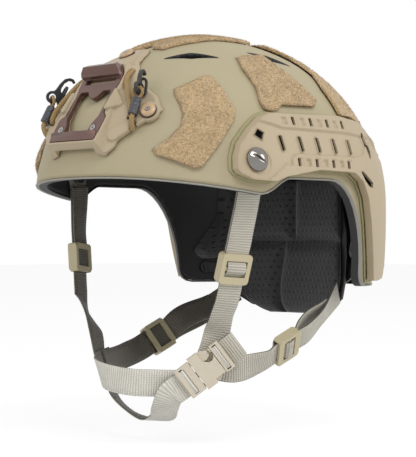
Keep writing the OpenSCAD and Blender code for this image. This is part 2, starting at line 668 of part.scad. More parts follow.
module insert_screws() {
    color([0.85, 0.84, 0.78]) on_face() for (s = [-1, 1]) translate([s * screw_u, screw_v, insert_face]) {
        difference() {
            translate([0, 0, -1.5 + seat_gap]) cylinder(h = 1.6, d = screw_d, $fn = 32);
            translate([0, 0, -0.9]) cylinder(h = 2, d = 2, $fn = 6);
        }
        translate([0, 0, -screw_grip]) cylinder(h = screw_grip - 1, d = insert_shank_d, $fn = 24);
    }
}

// Buttons that finish the shroud's three screws
top_button_p = front_p(0, crown_h - 22.5, 0);
side_button_p = front_p(54, 44, 0);
button_seat = base_t + 0.6;
washer_h = 1;
button_h = 2.2;
button_shank_d = 3.2;
module at_buttons() {
    on_surface(top_button_p) children();
    both_sides() on_surface(side_button_p) children();
}
module button_washers() {
    color(black) at_buttons() translate([0, 0, button_seat + seat_gap / 2]) difference() {
        cylinder(h = washer_h, d = button_d + 0.8);
        translate([0, 0, -1]) cylinder(h = 4, d = button_shank_d + 2 * seat_gap);
    }
}
module shroud_buttons() {
    color([0.75, 0.62, 0.46]) at_buttons() translate([0, 0, button_seat + washer_h + seat_gap]) difference() {
        union() {
            cylinder(h = button_h - 0.8, d = button_d);
            translate([0, 0, button_h - 0.8]) cylinder(h = 0.8, d1 = button_d, d2 = button_d - 2.4);
        }
        translate([0, 0, -1]) cylinder(h = 6, d = button_shank_d + 2 * seat_gap);
    }
}
module button_screws() {
    color([0.8, 0.8, 0.76]) at_buttons() translate([0, 0, -wall]) difference() {
        cylinder(h = wall + button_seat + washer_h + button_h + 0.4, d = button_shank_d);
        translate([0, 0, wall + button_seat + washer_h + button_h - 0.8]) cylinder(h = 3, d = 1.6, $fn = 6);
    }
}

// Elastic cords on the shroud: a run across each wing, and a loop with sleeve and hook
cord_exit = [51, 36.5];
cord_rise = base_t + 5.1;
cord_p = front_p(cord_exit.x, cord_exit.y, cord_rise);
cord_lean = -4;
cord_tip = 4;
hook_lean = 12;
sleeve_from = 7.5;
sleeve_len = 12;
sleeve_top = sleeve_from + sleeve_len + 1.6;
hook_v = sleeve_top + 6.9;
hook_n = 3;
module at_cord() {
    on_surface(cord_p) rotate([0, 0, cord_lean]) rotate([-cord_tip, 0, 0]) children();
}
run_low = front_p(44.8, 42.5, base_t - 0.4);
run_lift = base_t + cord_d / 2 + 0.6;
run_path = curve([run_low, front_p(44.5, 45, run_lift - 1), front_p(41.8, 52, run_lift), front_p(34.5, 62, run_lift),
    front_p(26.5, 72, run_lift), front_p(22, 79, base_t - 0.4)], 2);
module cord_run_left() {
    cord(run_path, cord_d, 8);
}
module cord_runs() {
    color([0.62, 0.5, 0.33]) both_sides() cord_run_left();
}
loop_half = cord_d / 2 + 0.15;
module cord_loop_left() {
    color([0.62, 0.5, 0.33]) at_cord() {
        cord(curve([[0, -1, -6.5], [0, 1, -3.5], [0, 4, -0.8], [0, sleeve_from, 0], [0, sleeve_top + 0.6, 0]], 2),
            cord_d, 8);
        for (s = [-1, 1]) cord([for (p = [[-0.3 * s, -1.5, 0], [2.2 * s, 1.7, 0.3], [3.5 * s, 3.6, 1.2],
            [3.4 * s, 5.6, 2.6], [1.8 * s, 7.1, 3], [-0.8 * s, 7.1 + 0.2 * s, 3 - 0.1 * s]])
            [p.x, sleeve_top + p.y, p.z]], 2.4, 6, [0, 0, 1]);
    }
}
module cord_loop_right() {
    right_side() cord_loop_left();
}
module cord_sleeve_left() {
    color([0.2, 0.21, 0.24]) at_cord() translate([0, sleeve_from, 0]) rotate([-90, 0, 0]) difference() {
        union() {
            cylinder(h = sleeve_len, d = sleeve_d);
            translate([0, 0, sleeve_len]) cylinder(h = 1.6, d1 = sleeve_d, d2 = sleeve_d - 1.2);
        }
        translate([0, 0, -1]) cylinder(h = sleeve_len + 4, d = cord_d + 2 * soft_gap);
    }
}
module cord_sleeve_right() {
    right_side() cord_sleeve_left();
}
hook_t = 2.6;
module cord_hook_left() {
    color(black) at_cord() translate([0, hook_v, hook_n]) rotate([0, 0, hook_lean]) {
        difference() {
            translate([-hook_t / 2, 0, 0]) rotate([90, 0, 90]) union() {
                cylinder(h = hook_t, d = 9.6);
                linear_extrude(height = hook_t) polygon([[3.9, 1.4], [6.6, 0.2], [12, -0.6], [16.7, -2.2],
                    [19.2, -5.2], [19.6, -8], [18, -10.6], [16.4, -9.6], [17.4, -8], [16.8, -5.4], [13.2, -3.2],
                    [8.5, -2.9], [6.4, -4], [6, -7], [-3, -7], [-3, -5.6], [-1, -4], [0, 3]]);
            }
            translate([-5, 0, 0]) rotate([90, 0, 90]) cylinder(h = 10, d = 5.4);
        }
        translate([0, 4.6, -7.4]) difference() {
            hull() for (s = [-1, 1]) translate([0, s * 3.8, 0]) cylinder(h = 1.8, d = 8.4);
            hull() for (s = [-1, 1]) translate([0, s * 3.8, -1]) cylinder(h = 4, d = 5);
        }
    }
}
module cord_hook_right() {
    right_side() cord_hook_left();
}

// Moulded base that carries the insert: block, cheeks, neck, wings and feet
wing_half = [[12, 18.5], [16, 17], [33, 16.5], [37, 20], [41, 33], [50, 36], [59, 40], [62, 47], [54, 57], [38, 68],
    [26, 78], [18, 85], [13, 94], [9, 98]];
module front_slab(low, high) {
    g = [for (z = [-10 : 12 : 101]) [for (x = [-75 : 15 : 75]) [x, z]]];
    slab([for (row = g) [for (p = row) front_p(p.x, p.y, high)]],
        [for (row = g) [for (p = row) front_p(p.x, p.y, low)]]);
}
module front_prism(outline) {
    rotate([90, 0, 0]) linear_extrude(height = 190) polygon(outline);
}
module cord_slot(p, turn) {
    on_surface(p) rotate([0, 0, turn]) hull() for (s = [-1, 1]) translate([s * 1.5, 0, -base_t + 0.6])
        cylinder(h = 20, d = cord_d + 2 * run_gap, $fn = 16);
}
module foot(high, d, sides) {
    translate([0, 0, -4]) cylinder(h = high + 4, d = d, $fn = sides);
}
module shroud_base() {
    pocket = seat_gap;
    color(tan_rail) difference() {
        union() {
            intersection() {
                front_slab(-3, base_t);
                front_prism(both(wing_half));
            }
            on_face() hull() {
                translate([0, 0, -22]) linear_extrude(height = 1)
                    polygon(both([[34, -10], [36, 4], [34, 30], [31, 56], [25, 74]]));
                translate([0, 0, -2]) linear_extrude(height = 1)
                    polygon(both([[27.5, -3], [28.5, 12], [28.5, 20], [25.5, 30], [25, 50], [24, 57],
                        [18.5, insert_h + 1.5]]));
            }
            on_face() for (s = [-1, 1]) hull() {
                translate([s * 24.6, 26, -8]) cylinder(h = 10, r = 2, $fn = 12);
                translate([s * 24.4, 42, -8]) cylinder(h = 9, r = 1.5, $fn = 12);
                translate([s * 31, 32, -12]) cylinder(h = 9, r = 3, $fn = 12);
            }
            hull() {
                on_face() translate([-16, insert_h - 6, -12]) cube([32, 7, 11]);
                on_surface(top_button_p) foot(button_seat, button_d + 5, 16);
            }
            for (s = [0, 1]) mirror([s, 0, 0]) {
                hull() {
                    on_surface(side_button_p) foot(button_seat, button_d + 4, 16);
                    on_surface(front_p(45, 45, 0)) foot(base_t, 14, 12);
                }
                hull() {
                    on_surface(front_p(50, 39, 0)) foot(base_t + 1, 8, 12);
                    on_surface(front_p(35, 28, 0)) foot(base_t + 1.6, 10, 12);
                }
            }
        }
        translate([-22, -150, 0]) cube([44, 60, 20]);
        front_slab(-30, seat_gap + facet_room);
        on_face() {
            translate([0, 0, insert_back - pocket]) linear_extrude(height = 40) offset(delta = pocket)
                polygon(insert_outline);
            translate([0, 0, -30]) linear_extrude(height = 60) offset(delta = 1) polygon(window_outline);
            for (s = [-1, 1]) translate([s * screw_u, screw_v, -20])
                cylinder(h = 20, d = insert_shank_d + 2 * seat_gap, $fn = 16);
        }
        at_buttons() translate([0, 0, -5]) cylinder(h = 30, d = button_shank_d + 2 * seat_gap, $fn = 12);
        at_buttons() translate([0, 0, button_seat]) cylinder(h = 12, d = button_d + 2, $fn = 20);
        for (s = [0, 1]) mirror([s, 0, 0]) {
            cord_slot(run_low, 20);
            cord(run_path, cord_d + 2 * run_gap, 6);
            at_cord() translate([0, 1, -11]) hull() for (s = [-1, 1])
                translate([0, s * 2.5, 0]) cylinder(h = 20, d = cord_d + 2 * run_gap, $fn = 16);
        }
    }
}

// Harness: routes of points with outward normals
adj_f = [78, -43.3, -66.6];
dir_f = unit([-6.5, 0, -22]);
out_f = [0.97, -0.24, -0.2];
adj_g = [-92.5, -49, -60];
dir_g = unit([3, -1, -22]);
out_g = [-0.92, -0.38, -0.1];
adj_l = [67.9, 24, -127.4];
dir_l = unit([-0.09, -0.91, -0.405]);
out_l = [0.87, 0.13, -0.48];
adj_r = [-66, 13, -125];
dir_r = unit([0.06, -0.93, -0.36]);
out_r = [-0.87, 0.1, -0.42];
stretch = adjuster_len / 2 + adjuster_travel + 5;
bolt_out = out_dir(rail_bolt_p);
bolt_in = rail_bolt_p + strap_in * bolt_out;
tail_gap = web_t + soft_gap;
function shifted(route, d) = [for (r = route) [r[0] - unit(r[1]) * d, r[1]]];
function hung(y, z) = [side_p(y, z, strap_in), out_dir(side_p(y, z, 0))];
front_top = [hung(-55, 19), hung(rail_bolt_yz.x, rail_bolt_yz.y), hung(-46, -3)];
function flip_route(route) = [for (r = route) [[-r[0].x, r[0].y, r[0].z], [-r[1].x, r[1].y, r[1].z]]];
function past(p, dir, out) = [for (k = [-1, -0.5, 0, 0.5, 1]) [p + k * stretch * dir, out]];
front_mid = past(adj_f, dir_f, out_f);
front_mid_right = past(adj_g, dir_g, out_g);
function span(route) = curve(route, 3);
buckle_p = [57.8, -53.1, -140.4];
buckle_turn = 50;
buckle_rise = 37;
buckle_x = [cos(buckle_rise) * cos(buckle_turn), cos(buckle_rise) * sin(buckle_turn), sin(buckle_rise)];
buckle_z = [sin(buckle_turn), -cos(buckle_turn), 0];
buckle_y = cross(buckle_z, buckle_x);
function at_buckle(x, z) = buckle_p + x * buckle_x + z * buckle_z;
module on_buckle() {
    translate(buckle_p) rotate([90, 0, buckle_turn]) rotate([0, 0, buckle_rise]) children();
}
junction_z = -8;
module strap_hole() {
    on_surface(rail_bolt_p) translate([0, 0, -3 * wall]) cylinder(h = 3 * wall, d = shank_d + 2 * run_gap);
}
function part(list, from, to) = [for (i = [from : to]) list[i]];
front_route = span(concat(front_top, front_mid, [[[65.5, -43.2, -101], out_f], [[58.3, -40.9, -113], [0.88, -0.47, 0]],
    [[55.8, -42.5, -125], [0.82, -0.57, 0]], [at_buckle(2, junction_z - 0.2), buckle_z]]));
front_route_right = span(concat(flip_route(front_top), front_mid_right,
    [[[-84.8, -52, -96], out_g], [[-58, -62, -113], [-0.93, -0.3, -0.2]], [[-46.2, -66.6, -137], [-0.82, -0.5, -0.28]]]));
module front_strap_left() {
    color(light_web) difference() {
        webbing(front_route, web_w, web_t);
        strap_hole();
    }
}
module front_strap_right() {
    color(dark_web) difference() {
        webbing(front_route_right, web_w, web_t);
        right_side() strap_hole();
    }
}
module front_strap_tail_left() {
    color(light_web) webbing(shifted(part(front_route, 6, 17), tail_gap), web_w, web_t);
}
module front_strap_tail_right() {
    color(dark_web) webbing(shifted(part(front_route_right, 6, 17), tail_gap), web_w, web_t);
}
strap_start = [[[57.5, 95.6, -88], [0.93, 0.33, -0.05]], [[67, 66, -106], [0.85, 0.2, -0.5]]];
rear_route = span(concat(strap_start, past(adj_l, dir_l, out_l), [[[61.5, -26.5, -142], [0.93, -0.35, 0]],
    [at_buckle(4, junction_z - 0.2 - tail_gap), buckle_z]]));
rear_route_right = span(concat(flip_route(strap_start), past(adj_r, dir_r, out_r),
    [[[-55.5, -38, -139], [-0.93, -0.3, -0.15]], [[-41.8, -64.2, -140.5], [-0.84, -0.46, -0.24]]]));
module rear_strap_left() {
    color(light_web) webbing(rear_route, web_w, web_t);
}
module rear_strap_right() {
    color(dark_web) webbing(rear_route_right, web_w, web_t);
}
module rear_tail(route) {
    webbing([for (i = [2 : 14]) let (open = i < 9 ? sin(180 * (i - 2) / 7) : 0)
        [route[i][0] - (tail_gap + 0.3 + 5 * open) * unit(route[i][1]) + [0, 0, 3 * open], route[i][1]]], web_w, web_t);
}
module rear_strap_tails() {
    color(dark_web) {
        rear_tail(rear_route);
        rear_tail(rear_route_right);
    }
}
chin_route = [[[-53, -49, -139.5], [-0.88, -0.42, -0.2]], [[-43.5, -65, -141], [-0.84, -0.48, -0.26]],
    [[-33, -77.5, -142.5], [-0.66, -0.66, -0.34]], [[-20, -89, -145], [-0.4, -0.87, -0.28]],
    [[-2, -95, -148], [0, -1, -0.05]], [[17, -89.5, -150.5], [0.45, -0.88, 0]],
    [[29.4, -76.9, -151.2], [0.68, -0.74, 0]], [at_buckle(-24, -6.8) + 4 * buckle_y, buckle_z]];
module chin_strap_upper() {
    color(light_web) webbing(span(chin_route), web_w, web_t);
}
module chin_strap_lower() {
    color(light_web) webbing(span([[[-38.8, -61.8, -152.7], [-0.84, -0.48, -0.26]],
        [[-34, -61.5, -166], [-0.6, -0.5, -0.6]], [[-20.5, -58.4, -176.5], [-0.4, -0.4, -0.82]],
        [[-1, -55.5, -182], [0, -0.1, -1]], [[15.3, -57, -179], [0.3, -0.3, -0.9]],
        [[32, -69.5, -170.5], [0.6, -0.6, -0.6]], [at_buckle(-32, -1), buckle_z], [at_buckle(-22, -1.8), buckle_z],
        [at_buckle(-14, -2.3), buckle_z]]), web_w, web_t);
}

// Slide adjuster: a framed window over a channel for the webbing
adjuster_w = web_w + 5;
channel = 2 * web_t + soft_gap + 2 * run_gap;
module adjuster() {
    bar = 4.5;
    color([0.79, 0.74, 0.59]) difference() {
        translate([-adjuster_len / 2, -adjuster_w / 2, -channel / 2 - 1.6])
            cube([adjuster_len, adjuster_w, channel + 3.6]);
        translate([-adjuster_len, -(web_w + 1) / 2, -channel / 2]) cube([2 * adjuster_len, web_w + 1, channel]);
        for (s = [-1, 1]) translate([s * 3.7 - 2.4, -(web_w - 2) / 2, 0]) cube([4.8, web_w - 2, 10]);
        translate([-adjuster_len / 2 + bar, -(web_w - 2) / 2, -10]) cube([adjuster_len - 2 * bar, web_w - 2, 10]);
    }
}
module at_adjuster(p, dir, out) {
    on_strap(p, dir, out) translate([0, 0, -tail_gap / 2]) adjuster();
}
module front_adjuster_left() {
    at_adjuster(adj_f, dir_f, out_f);
}
module front_adjuster_right() {
    at_adjuster(adj_g, dir_g, out_g);
}
module rear_adjuster_left() {
    at_adjuster(adj_l, dir_l, out_l);
}
module rear_adjuster_right() {
    at_adjuster(adj_r, dir_r, out_r);
}

// Side-release buckle: X toward the socket's bar, Z outward
mouth_x = -7;
socket_end = mouth_x + socket_len;
prong_t = 3.6;
cavity_t = prong_t + 2 * run_gap;
window_from = 1;
window_to = 11.5;
module buckle_socket() {
    color([0.83, 0.78, 0.7]) on_buckle() difference() {
        union() {
            translate([mouth_x, -buckle_w / 2, -buckle_t / 2]) cube([9, buckle_w, buckle_t]);
            translate([mouth_x + 9, -buckle_w / 2 + 3, -buckle_t / 2]) cube([9, buckle_w - 6, buckle_t]);
            translate([window_to, -buckle_w / 2 + 2, -buckle_t / 2]) cube([socket_end - window_to, buckle_w - 4, buckle_t]);
        }
        translate([mouth_x - 1, -buckle_w / 2 + 1.6, -cavity_t / 2]) cube([window_from - mouth_x + 1, buckle_w - 3.2, cavity_t]);
        translate([window_from - eps, -buckle_w, -cavity_t / 2]) cube([window_to - window_from, 2 * buckle_w, cavity_t]);
        linear_extrude(height = buckle_t) polygon([[window_from + 0.6, buckle_w], [window_from + 0.6, 5.8],
            [window_from + 4, 2.4], [window_from + 7, 2], [window_to - 1, 4], [window_to - 0.4, 7],
            [window_to - 1.6, 9.4], [window_to - 4, buckle_w]]);
        translate([socket_end - 6, -web_w / 2 - 0.5, -buckle_t]) cube([3.5, web_w + 1, 2 * buckle_t]);
        translate([socket_end - 7, -web_w / 2 - 0.5, -buckle_t]) cube([20, web_w + 1, buckle_t - 0.4]);
    }
}
plug_back = -20;
plug_face = mouth_x - 0.4;
arm_y = 7.6;
module buckle_plug() {
    color([0.83, 0.78, 0.7]) on_buckle() {
        difference() {
            translate([plug_back, -12, -buckle_t / 2 + 0.5]) cube([plug_face - plug_back, 24, buckle_t - 1]);
            translate([plug_back + 3, -web_w / 2 - 0.5, -buckle_t]) cube([4, web_w + 1, 2 * buckle_t]);
            translate([plug_back - 1, -web_w / 2 - 0.5, -buckle_t]) cube([8, web_w + 1, buckle_t - 0.6]);
        }
        translate([plug_face, -2, -prong_t / 2]) cube([14, 4, prong_t]);
    }
}
module buckle_prongs() {
    color([0.86, 0.81, 0.74]) on_buckle() for (s = [0, 1]) mirror([0, s, 0])
        translate([0, 0, -prong_t / 2]) linear_extrude(height = prong_t) polygon([[plug_face, arm_y],
            [plug_face, arm_y + 3.4], [window_from + 0.4, arm_y + 3.6], [window_from + 0.4, buckle_w / 2 - 0.6],
            [window_from + 3.6, buckle_w / 2 - 0.7], [window_to - 3.6, arm_y + 3.2], [window_to - 2.2, arm_y + 0.6],
            [window_to - 3, arm_y - 1.6], [window_from + 3.6, arm_y - 3.2], [window_from, arm_y - 2.6], [0, arm_y]]);
}

// Webbing that ties the socket's bar to the junction of the side straps
module buckle_loop() {
    color(light_web) webbing([for (p = [[socket_end - 5.6, -2.6], [socket_end - 2, -2.4], [socket_end + 3, -1.4],
        [socket_end + 8, -1], [socket_end + 11, -1.6], [socket_end + 12, -3.2], [socket_end + 10, -4.8],
        [socket_end + 4, -5.6], [socket_end - 4, -5.9]])
        [at_buckle(p.x, p.y), p.x > socket_end + 10.5 ? buckle_x : (p.y > -3 ? buckle_z : -buckle_z)]], web_w, 1.2);
}

// Nape cradle on an arc round the back of the head
nape_yc = nape_face_y - nape_r;
function nape_p(x, z, d) = [x, nape_yc + sqrt(pow(nape_r + d, 2) - x * x), z];
pad_top_z = 4;
function seam(v, at, w) = exp(-pow((v - at) / w, 2));
module nape_pad() {
    n = 16;
    m = 12;
    half = function (v) nape_half_w * sqrt(1 - 0.8 * pow(max(0, 0.36 - v) / 0.36, 2.8));
    depth = function (i, j) let (u = i / n, v = j / m, x = (2 * u - 1) * nape_half_w,
        lean = v < 0.55 ? -10 - 12 * (0.55 - v) / 0.55 : 0)
        pad_face(u, v, nape_pad_t) * (1 - 0.45 * max(seam(x, lean, 3.5), seam(v * 112, 61, 3.5)));
    back = [for (j = [0 : m]) [for (i = [0 : n]) let (v = j / m)
        nape_p((2 * i / n - 1) * half(v), mix(-nape_pad_drop, pad_top_z, v), nape_pad_t)]];
    face = [for (j = [0 : m]) [for (i = [0 : n]) let (v = j / m)
        nape_p((2 * i / n - 1) * half(v), mix(-nape_pad_drop, pad_top_z, v), nape_pad_t - depth(i, j))]];
    color(black) slab(face, back);
}
plate_in = nape_r + nape_pad_t + soft_gap;
module arc_plate(outline) {
    intersection() {
        translate([0, nape_yc, -150]) difference() {
            cylinder(h = 200, r = plate_in + plate_t, $fn = 96);
            translate([0, 0, -1]) cylinder(h = 202, r = plate_in, $fn = 96);
        }
        translate([0, 200, 0]) rotate([90, 0, 0]) linear_extrude(height = 180) polygon(outline);
    }
}
module nape_plate() {
    color([0.18, 0.19, 0.19]) arc_plate(both([[28, -103], [46, -100], [58, -93], [64, -76], [67, -60], [67, -40],
        [60, -18], [50, 2], [42, 2], [50, -20], [56, -40], [55, -54], [40, -64], [12, -66]]));
}
housing_back = plate_in + plate_t + seat_gap;
housing_y = nape_yc + housing_back;
housing_t = 5.6;
knob_y = housing_y + housing_t + seat_gap;
knob_t = 5;
dial_z = -dial_drop;
dial_pin_d = 4;
module dial_housing() {
    color([0.2, 0.2, 0.2]) difference() {
        translate([-23, housing_y + 0.6, dial_z - 12]) cube([46, housing_t - 0.6, 26]);
        translate([0, housing_y - 1, dial_z]) rotate([-90, 0, 0]) cylinder(h = 20, d = dial_pin_d + 2 * seat_gap);
        translate([0, housing_y - 1, dial_z]) rotate([-90, 0, 0]) cylinder(h = 4, d = 12);
        translate([-30, housing_y - 1, dial_z - 5]) cube([60, 3, 10]);
    }
}
module dial_knob() {
    color([0.12, 0.12, 0.12]) translate([0, knob_y, dial_z]) rotate([-90, 0, 0]) {
        difference() {
            cylinder(h = knob_t, d = dial_d);
            for (a = [0 : 24 : 336]) rotate(a) translate([dial_d / 2 + 0.6, 0, -1])
                cylinder(h = knob_t + 2, d = 2.8, $fn = 16);
        }
        translate([0, 0, -housing_t]) cylinder(h = housing_t, d = dial_pin_d);
    }
}
function band_at(y) = [side_p(y, rear_screw_yz.y, -wall - 5.2), out_dir(side_p(y, rear_screw_yz.y, 0))];
module adjust_band_left() {
    color([0.16, 0.16, 0.16]) webbing(curve([[[24.5, housing_y + 1.4, dial_z], [0, 1, 0]],
        [[42, housing_y - 3.4, dial_z + 4], [0.28, 0.96, 0]], [[62, housing_y - 11.3, -75], [0.45, 0.9, 0]],
        [[71, housing_y - 16, -71.5], [0.55, 0.85, 0]], band_at(rear_screw_yz.x - 1), band_at(rear_screw_yz.x - 8)],
        4), 8, 1.2);
}
module adjust_band_right() {
    right_side() adjust_band_left();
}

shell();
edge_seal();
vent_screens();
impact_liner();
front_pad();
crown_pad();
side_pad_left();
side_pad_right();
rear_side_pad_left();
rear_side_pad_right();
liner_loop_tabs();
shroud_base();
shroud_insert();
insert_screws();
shroud_buttons();
button_washers();
button_screws();
cord_runs();
cord_loop_left();
cord_loop_right();
cord_sleeve_left();
cord_sleeve_right();
cord_hook_left();
cord_hook_right();
rail_left();
rail_right();
rail_gasket_left();
rail_gasket_right();
rail_bolts();
strap_nuts();
rail_rear_screws();
chevron_loop_left();
chevron_loop_right();
rear_side_loop_left();
rear_side_loop_right();
top_loop_panel();
rear_loop_panel();
front_strap_left();
front_strap_right();
front_strap_tail_left();
front_strap_tail_right();
rear_strap_left();
rear_strap_right();
rear_strap_tails();
chin_strap_upper();
chin_strap_lower();
buckle_loop();
front_adjuster_left();
front_adjuster_right();
rear_adjuster_left();
rear_adjuster_right();
buckle_socket();
buckle_plug();
buckle_prongs();
nape_plate();
nape_pad();
dial_housing();
dial_knob();
adjust_band_left();
adjust_band_right();
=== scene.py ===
# Combat helmet: the looks of every piece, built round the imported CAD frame
import json
import math

import bmesh
import bpy
import numpy as np
from mathutils import Matrix, Vector

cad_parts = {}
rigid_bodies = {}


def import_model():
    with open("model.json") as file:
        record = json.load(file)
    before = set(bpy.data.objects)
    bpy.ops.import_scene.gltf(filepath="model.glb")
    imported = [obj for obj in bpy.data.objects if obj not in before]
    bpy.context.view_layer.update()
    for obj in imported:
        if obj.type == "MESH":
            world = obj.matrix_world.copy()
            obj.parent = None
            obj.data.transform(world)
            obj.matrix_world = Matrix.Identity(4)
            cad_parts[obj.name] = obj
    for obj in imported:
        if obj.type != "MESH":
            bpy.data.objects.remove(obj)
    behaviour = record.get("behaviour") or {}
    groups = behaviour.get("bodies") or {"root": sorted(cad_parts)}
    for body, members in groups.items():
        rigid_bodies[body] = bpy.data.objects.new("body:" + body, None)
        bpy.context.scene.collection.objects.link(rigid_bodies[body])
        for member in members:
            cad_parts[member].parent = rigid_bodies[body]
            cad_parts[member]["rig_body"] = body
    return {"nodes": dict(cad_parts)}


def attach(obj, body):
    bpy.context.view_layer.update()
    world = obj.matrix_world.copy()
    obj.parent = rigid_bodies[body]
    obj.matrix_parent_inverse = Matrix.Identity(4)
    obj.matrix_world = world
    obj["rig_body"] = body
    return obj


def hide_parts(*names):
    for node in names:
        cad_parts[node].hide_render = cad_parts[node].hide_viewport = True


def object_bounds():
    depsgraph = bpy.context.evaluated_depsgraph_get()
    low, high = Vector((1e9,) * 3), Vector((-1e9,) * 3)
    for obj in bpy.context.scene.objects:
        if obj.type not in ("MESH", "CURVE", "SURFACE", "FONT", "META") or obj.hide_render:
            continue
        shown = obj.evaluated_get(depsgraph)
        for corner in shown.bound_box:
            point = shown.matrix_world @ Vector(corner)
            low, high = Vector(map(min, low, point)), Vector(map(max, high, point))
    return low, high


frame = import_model()
cad_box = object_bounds()

# Camera, studio light and floor. The camera stands 1.2 m away at the wearer's left front,
# at the height of the chin, and the light is soft and pale from all round.
scene = bpy.context.scene
scene.view_settings.view_transform = "Standard"
view_right = Vector((0.697, 0.717, 0)).normalized()
view_back = Vector((0.717, -0.697, -0.010)).normalized()
view_up = view_back.cross(view_right)
view_distance = 1.204
target = 0.0044 * view_right - 0.0365 * view_up
camera_data = bpy.data.cameras.new("camera")
camera_data.sensor_width = 36
camera_data.lens = 120.5
camera_data.clip_end = 50
camera = bpy.data.objects.new("camera", camera_data)
scene.collection.objects.link(camera)
camera.matrix_world = Matrix.Translation(target + view_distance * view_back) @ Matrix((
    (view_right.x, view_up.x, view_back.x), (view_right.y, view_up.y, view_back.y),
    (view_right.z, view_up.z, view_back.z))).to_4x4()
scene.camera = camera


def soft_lamp(name, place, size, power):
    lamp = bpy.data.lights.new(name, "AREA")
    lamp.shape = "DISK"
    lamp.size = size
    lamp.energy = power
    holder = bpy.data.objects.new(name, lamp)
    scene.collection.objects.link(holder)
    aim = (Vector(place) - Vector((0, 0, -0.03))).to_track_quat("Z", "Y")
    holder.matrix_world = Matrix.Translation(place) @ aim.to_matrix().to_4x4()


soft_lamp("key_lamp", (1.5, -0.7, 1.7), 1.1, 20)
soft_lamp("front_lamp", (-0.6, -1.9, 1.2), 1.2, 9)
soft_lamp("back_lamp", (1.7, 1.3, 0.9), 1.2, 13)


def add_node(tree, kind, inputs=None, **values):
    node = tree.nodes.new(kind)
    for key, value in values.items():
        setattr(node, key, value)
    for key, value in (inputs or {}).items():
        if isinstance(value, bpy.types.NodeSocket):
            tree.links.new(value, node.inputs[key])
        else:
            node.inputs[key].default_value = value
    return node


def calc(tree, operation, *values):
    """The result of a maths node on numbers or sockets."""
    return add_node(tree, "ShaderNodeMath", dict(enumerate(values)), operation=operation).outputs[0]


def shown_rays(tree):
    """1 for the rays that show a white studio as white, 0 for those that light the helmet."""
    rays = add_node(tree, "ShaderNodeLightPath")
    return calc(tree, "MAXIMUM", rays.outputs["Is Camera Ray"], rays.outputs["Is Glossy Ray"])


world = bpy.data.worlds.new("studio")
scene.world = world
world.use_nodes = True
sky = world.node_tree
sky.nodes.clear()
sky_light, sky_shown = [add_node(sky, "ShaderNodeBackground", {"Color": (1, 1, 1, 1),
    "Strength": strength}) for strength in (0.46, 1)]
sky_mix = add_node(sky, "ShaderNodeMixShader", {0: shown_rays(sky), 1: sky_light.outputs[0],
    2: sky_shown.outputs[0]})
add_node(sky, "ShaderNodeOutputWorld", {"Surface": sky_mix.outputs[0]})


def new_material(name, colour, roughness, metallic=0.0):
    material = bpy.data.materials.new(name)
    material.use_nodes = True
    shader = material.node_tree.nodes["Principled BSDF"]
    shader.inputs["Base Color"].default_value = (*colour, 1)
    shader.inputs["Roughness"].default_value = roughness
    shader.inputs["Metallic"].default_value = metallic
    material.diffuse_color = (*colour, 1)
    return material, material.node_tree, shader


floor_paint, floor_tree, floor_shader = new_material("floor_paint", (0.88, 0.88, 0.88), 0.9)
floor_white = add_node(floor_tree, "ShaderNodeEmission", {"Color": (1, 1, 1, 1), "Strength": 0.86})
floor_shade = add_node(floor_tree, "ShaderNodeBsdfDiffuse", {"Color": (0.2, 0.2, 0.2, 1)})
floor_shown = add_node(floor_tree, "ShaderNodeAddShader", {0: floor_white.outputs[0],
    1: floor_shade.outputs[0]})
floor_mix = add_node(floor_tree, "ShaderNodeMixShader", {0: shown_rays(floor_tree),
    1: floor_shader.outputs[0], 2: floor_shown.outputs[0]})
floor_tree.links.new(floor_mix.outputs[0], floor_tree.nodes["Material Output"].inputs["Surface"])
floor_bm = bmesh.new()
bmesh.ops.create_grid(floor_bm, x_segments=1, y_segments=1, size=8)
bmesh.ops.translate(floor_bm, verts=floor_bm.verts, vec=(0, 0, -0.1985))
floor_mesh = bpy.data.meshes.new("floor")
floor_bm.to_mesh(floor_mesh)
floor_mesh.materials.append(floor_paint)
floor = bpy.data.objects.new("floor", floor_mesh)
scene.collection.objects.link(floor)

# Shell: a pressed composite bowl with a matt tan coating, cut out over the ears and pierced
# by four vents. Its curved surfaces are drawn true over the CAD node's facets.
HALF_W, FRONT, REAR, CROWN, WIDEST, SKIRT = 0.1125, 0.1305, 0.1415, 0.1115, 0.018, 0.275
FRONT_N, REAR_N, SIDE_N = 2.4, 2.6, 2.06
WALL = 0.007


def gauge(p, lift):
    """Under 0 inside the shell's surface raised by lift, over 0 outside it."""
    n = np.where(p[:, 1] < 0, FRONT_N, REAR_N)
    length = np.where(p[:, 1] < 0, FRONT, REAR) + lift
    z = p[:, 2] + WIDEST
    height = np.where(z > 0, CROWN + WIDEST, SKIRT) + lift
    flat = (np.abs(p[:, 0] / (HALF_W + lift)) ** n + np.abs(p[:, 1] / length) ** n) ** (1 / n)
    return (flat ** SIDE_N + np.abs(z / height) ** SIDE_N) ** (1 / SIDE_N) - 1


def lift_of(p):
    lift = np.zeros(len(p))
    for _ in range(7):
        g = gauge(p, lift)
        slope = (gauge(p, lift + 1e-4) - g) / 1e-4
        lift = np.clip(lift - g / slope, -0.05, 0.04)
    return lift


def settle(p, lift):
    for _ in range(4):
        g = gauge(p, lift)
        rise = np.stack([(gauge(p + step, lift) - g) / 1e-5 for step in np.eye(3) * 1e-5], 1)
        p = p - (g / (rise ** 2).sum(1))[:, None] * rise
    return p


def cad_copy(node):
    bm = bmesh.new()
    bm.from_mesh(frame["nodes"][node].data)
    bmesh.ops.remove_doubles(bm, verts=bm.verts, dist=1e-6)
    return bm


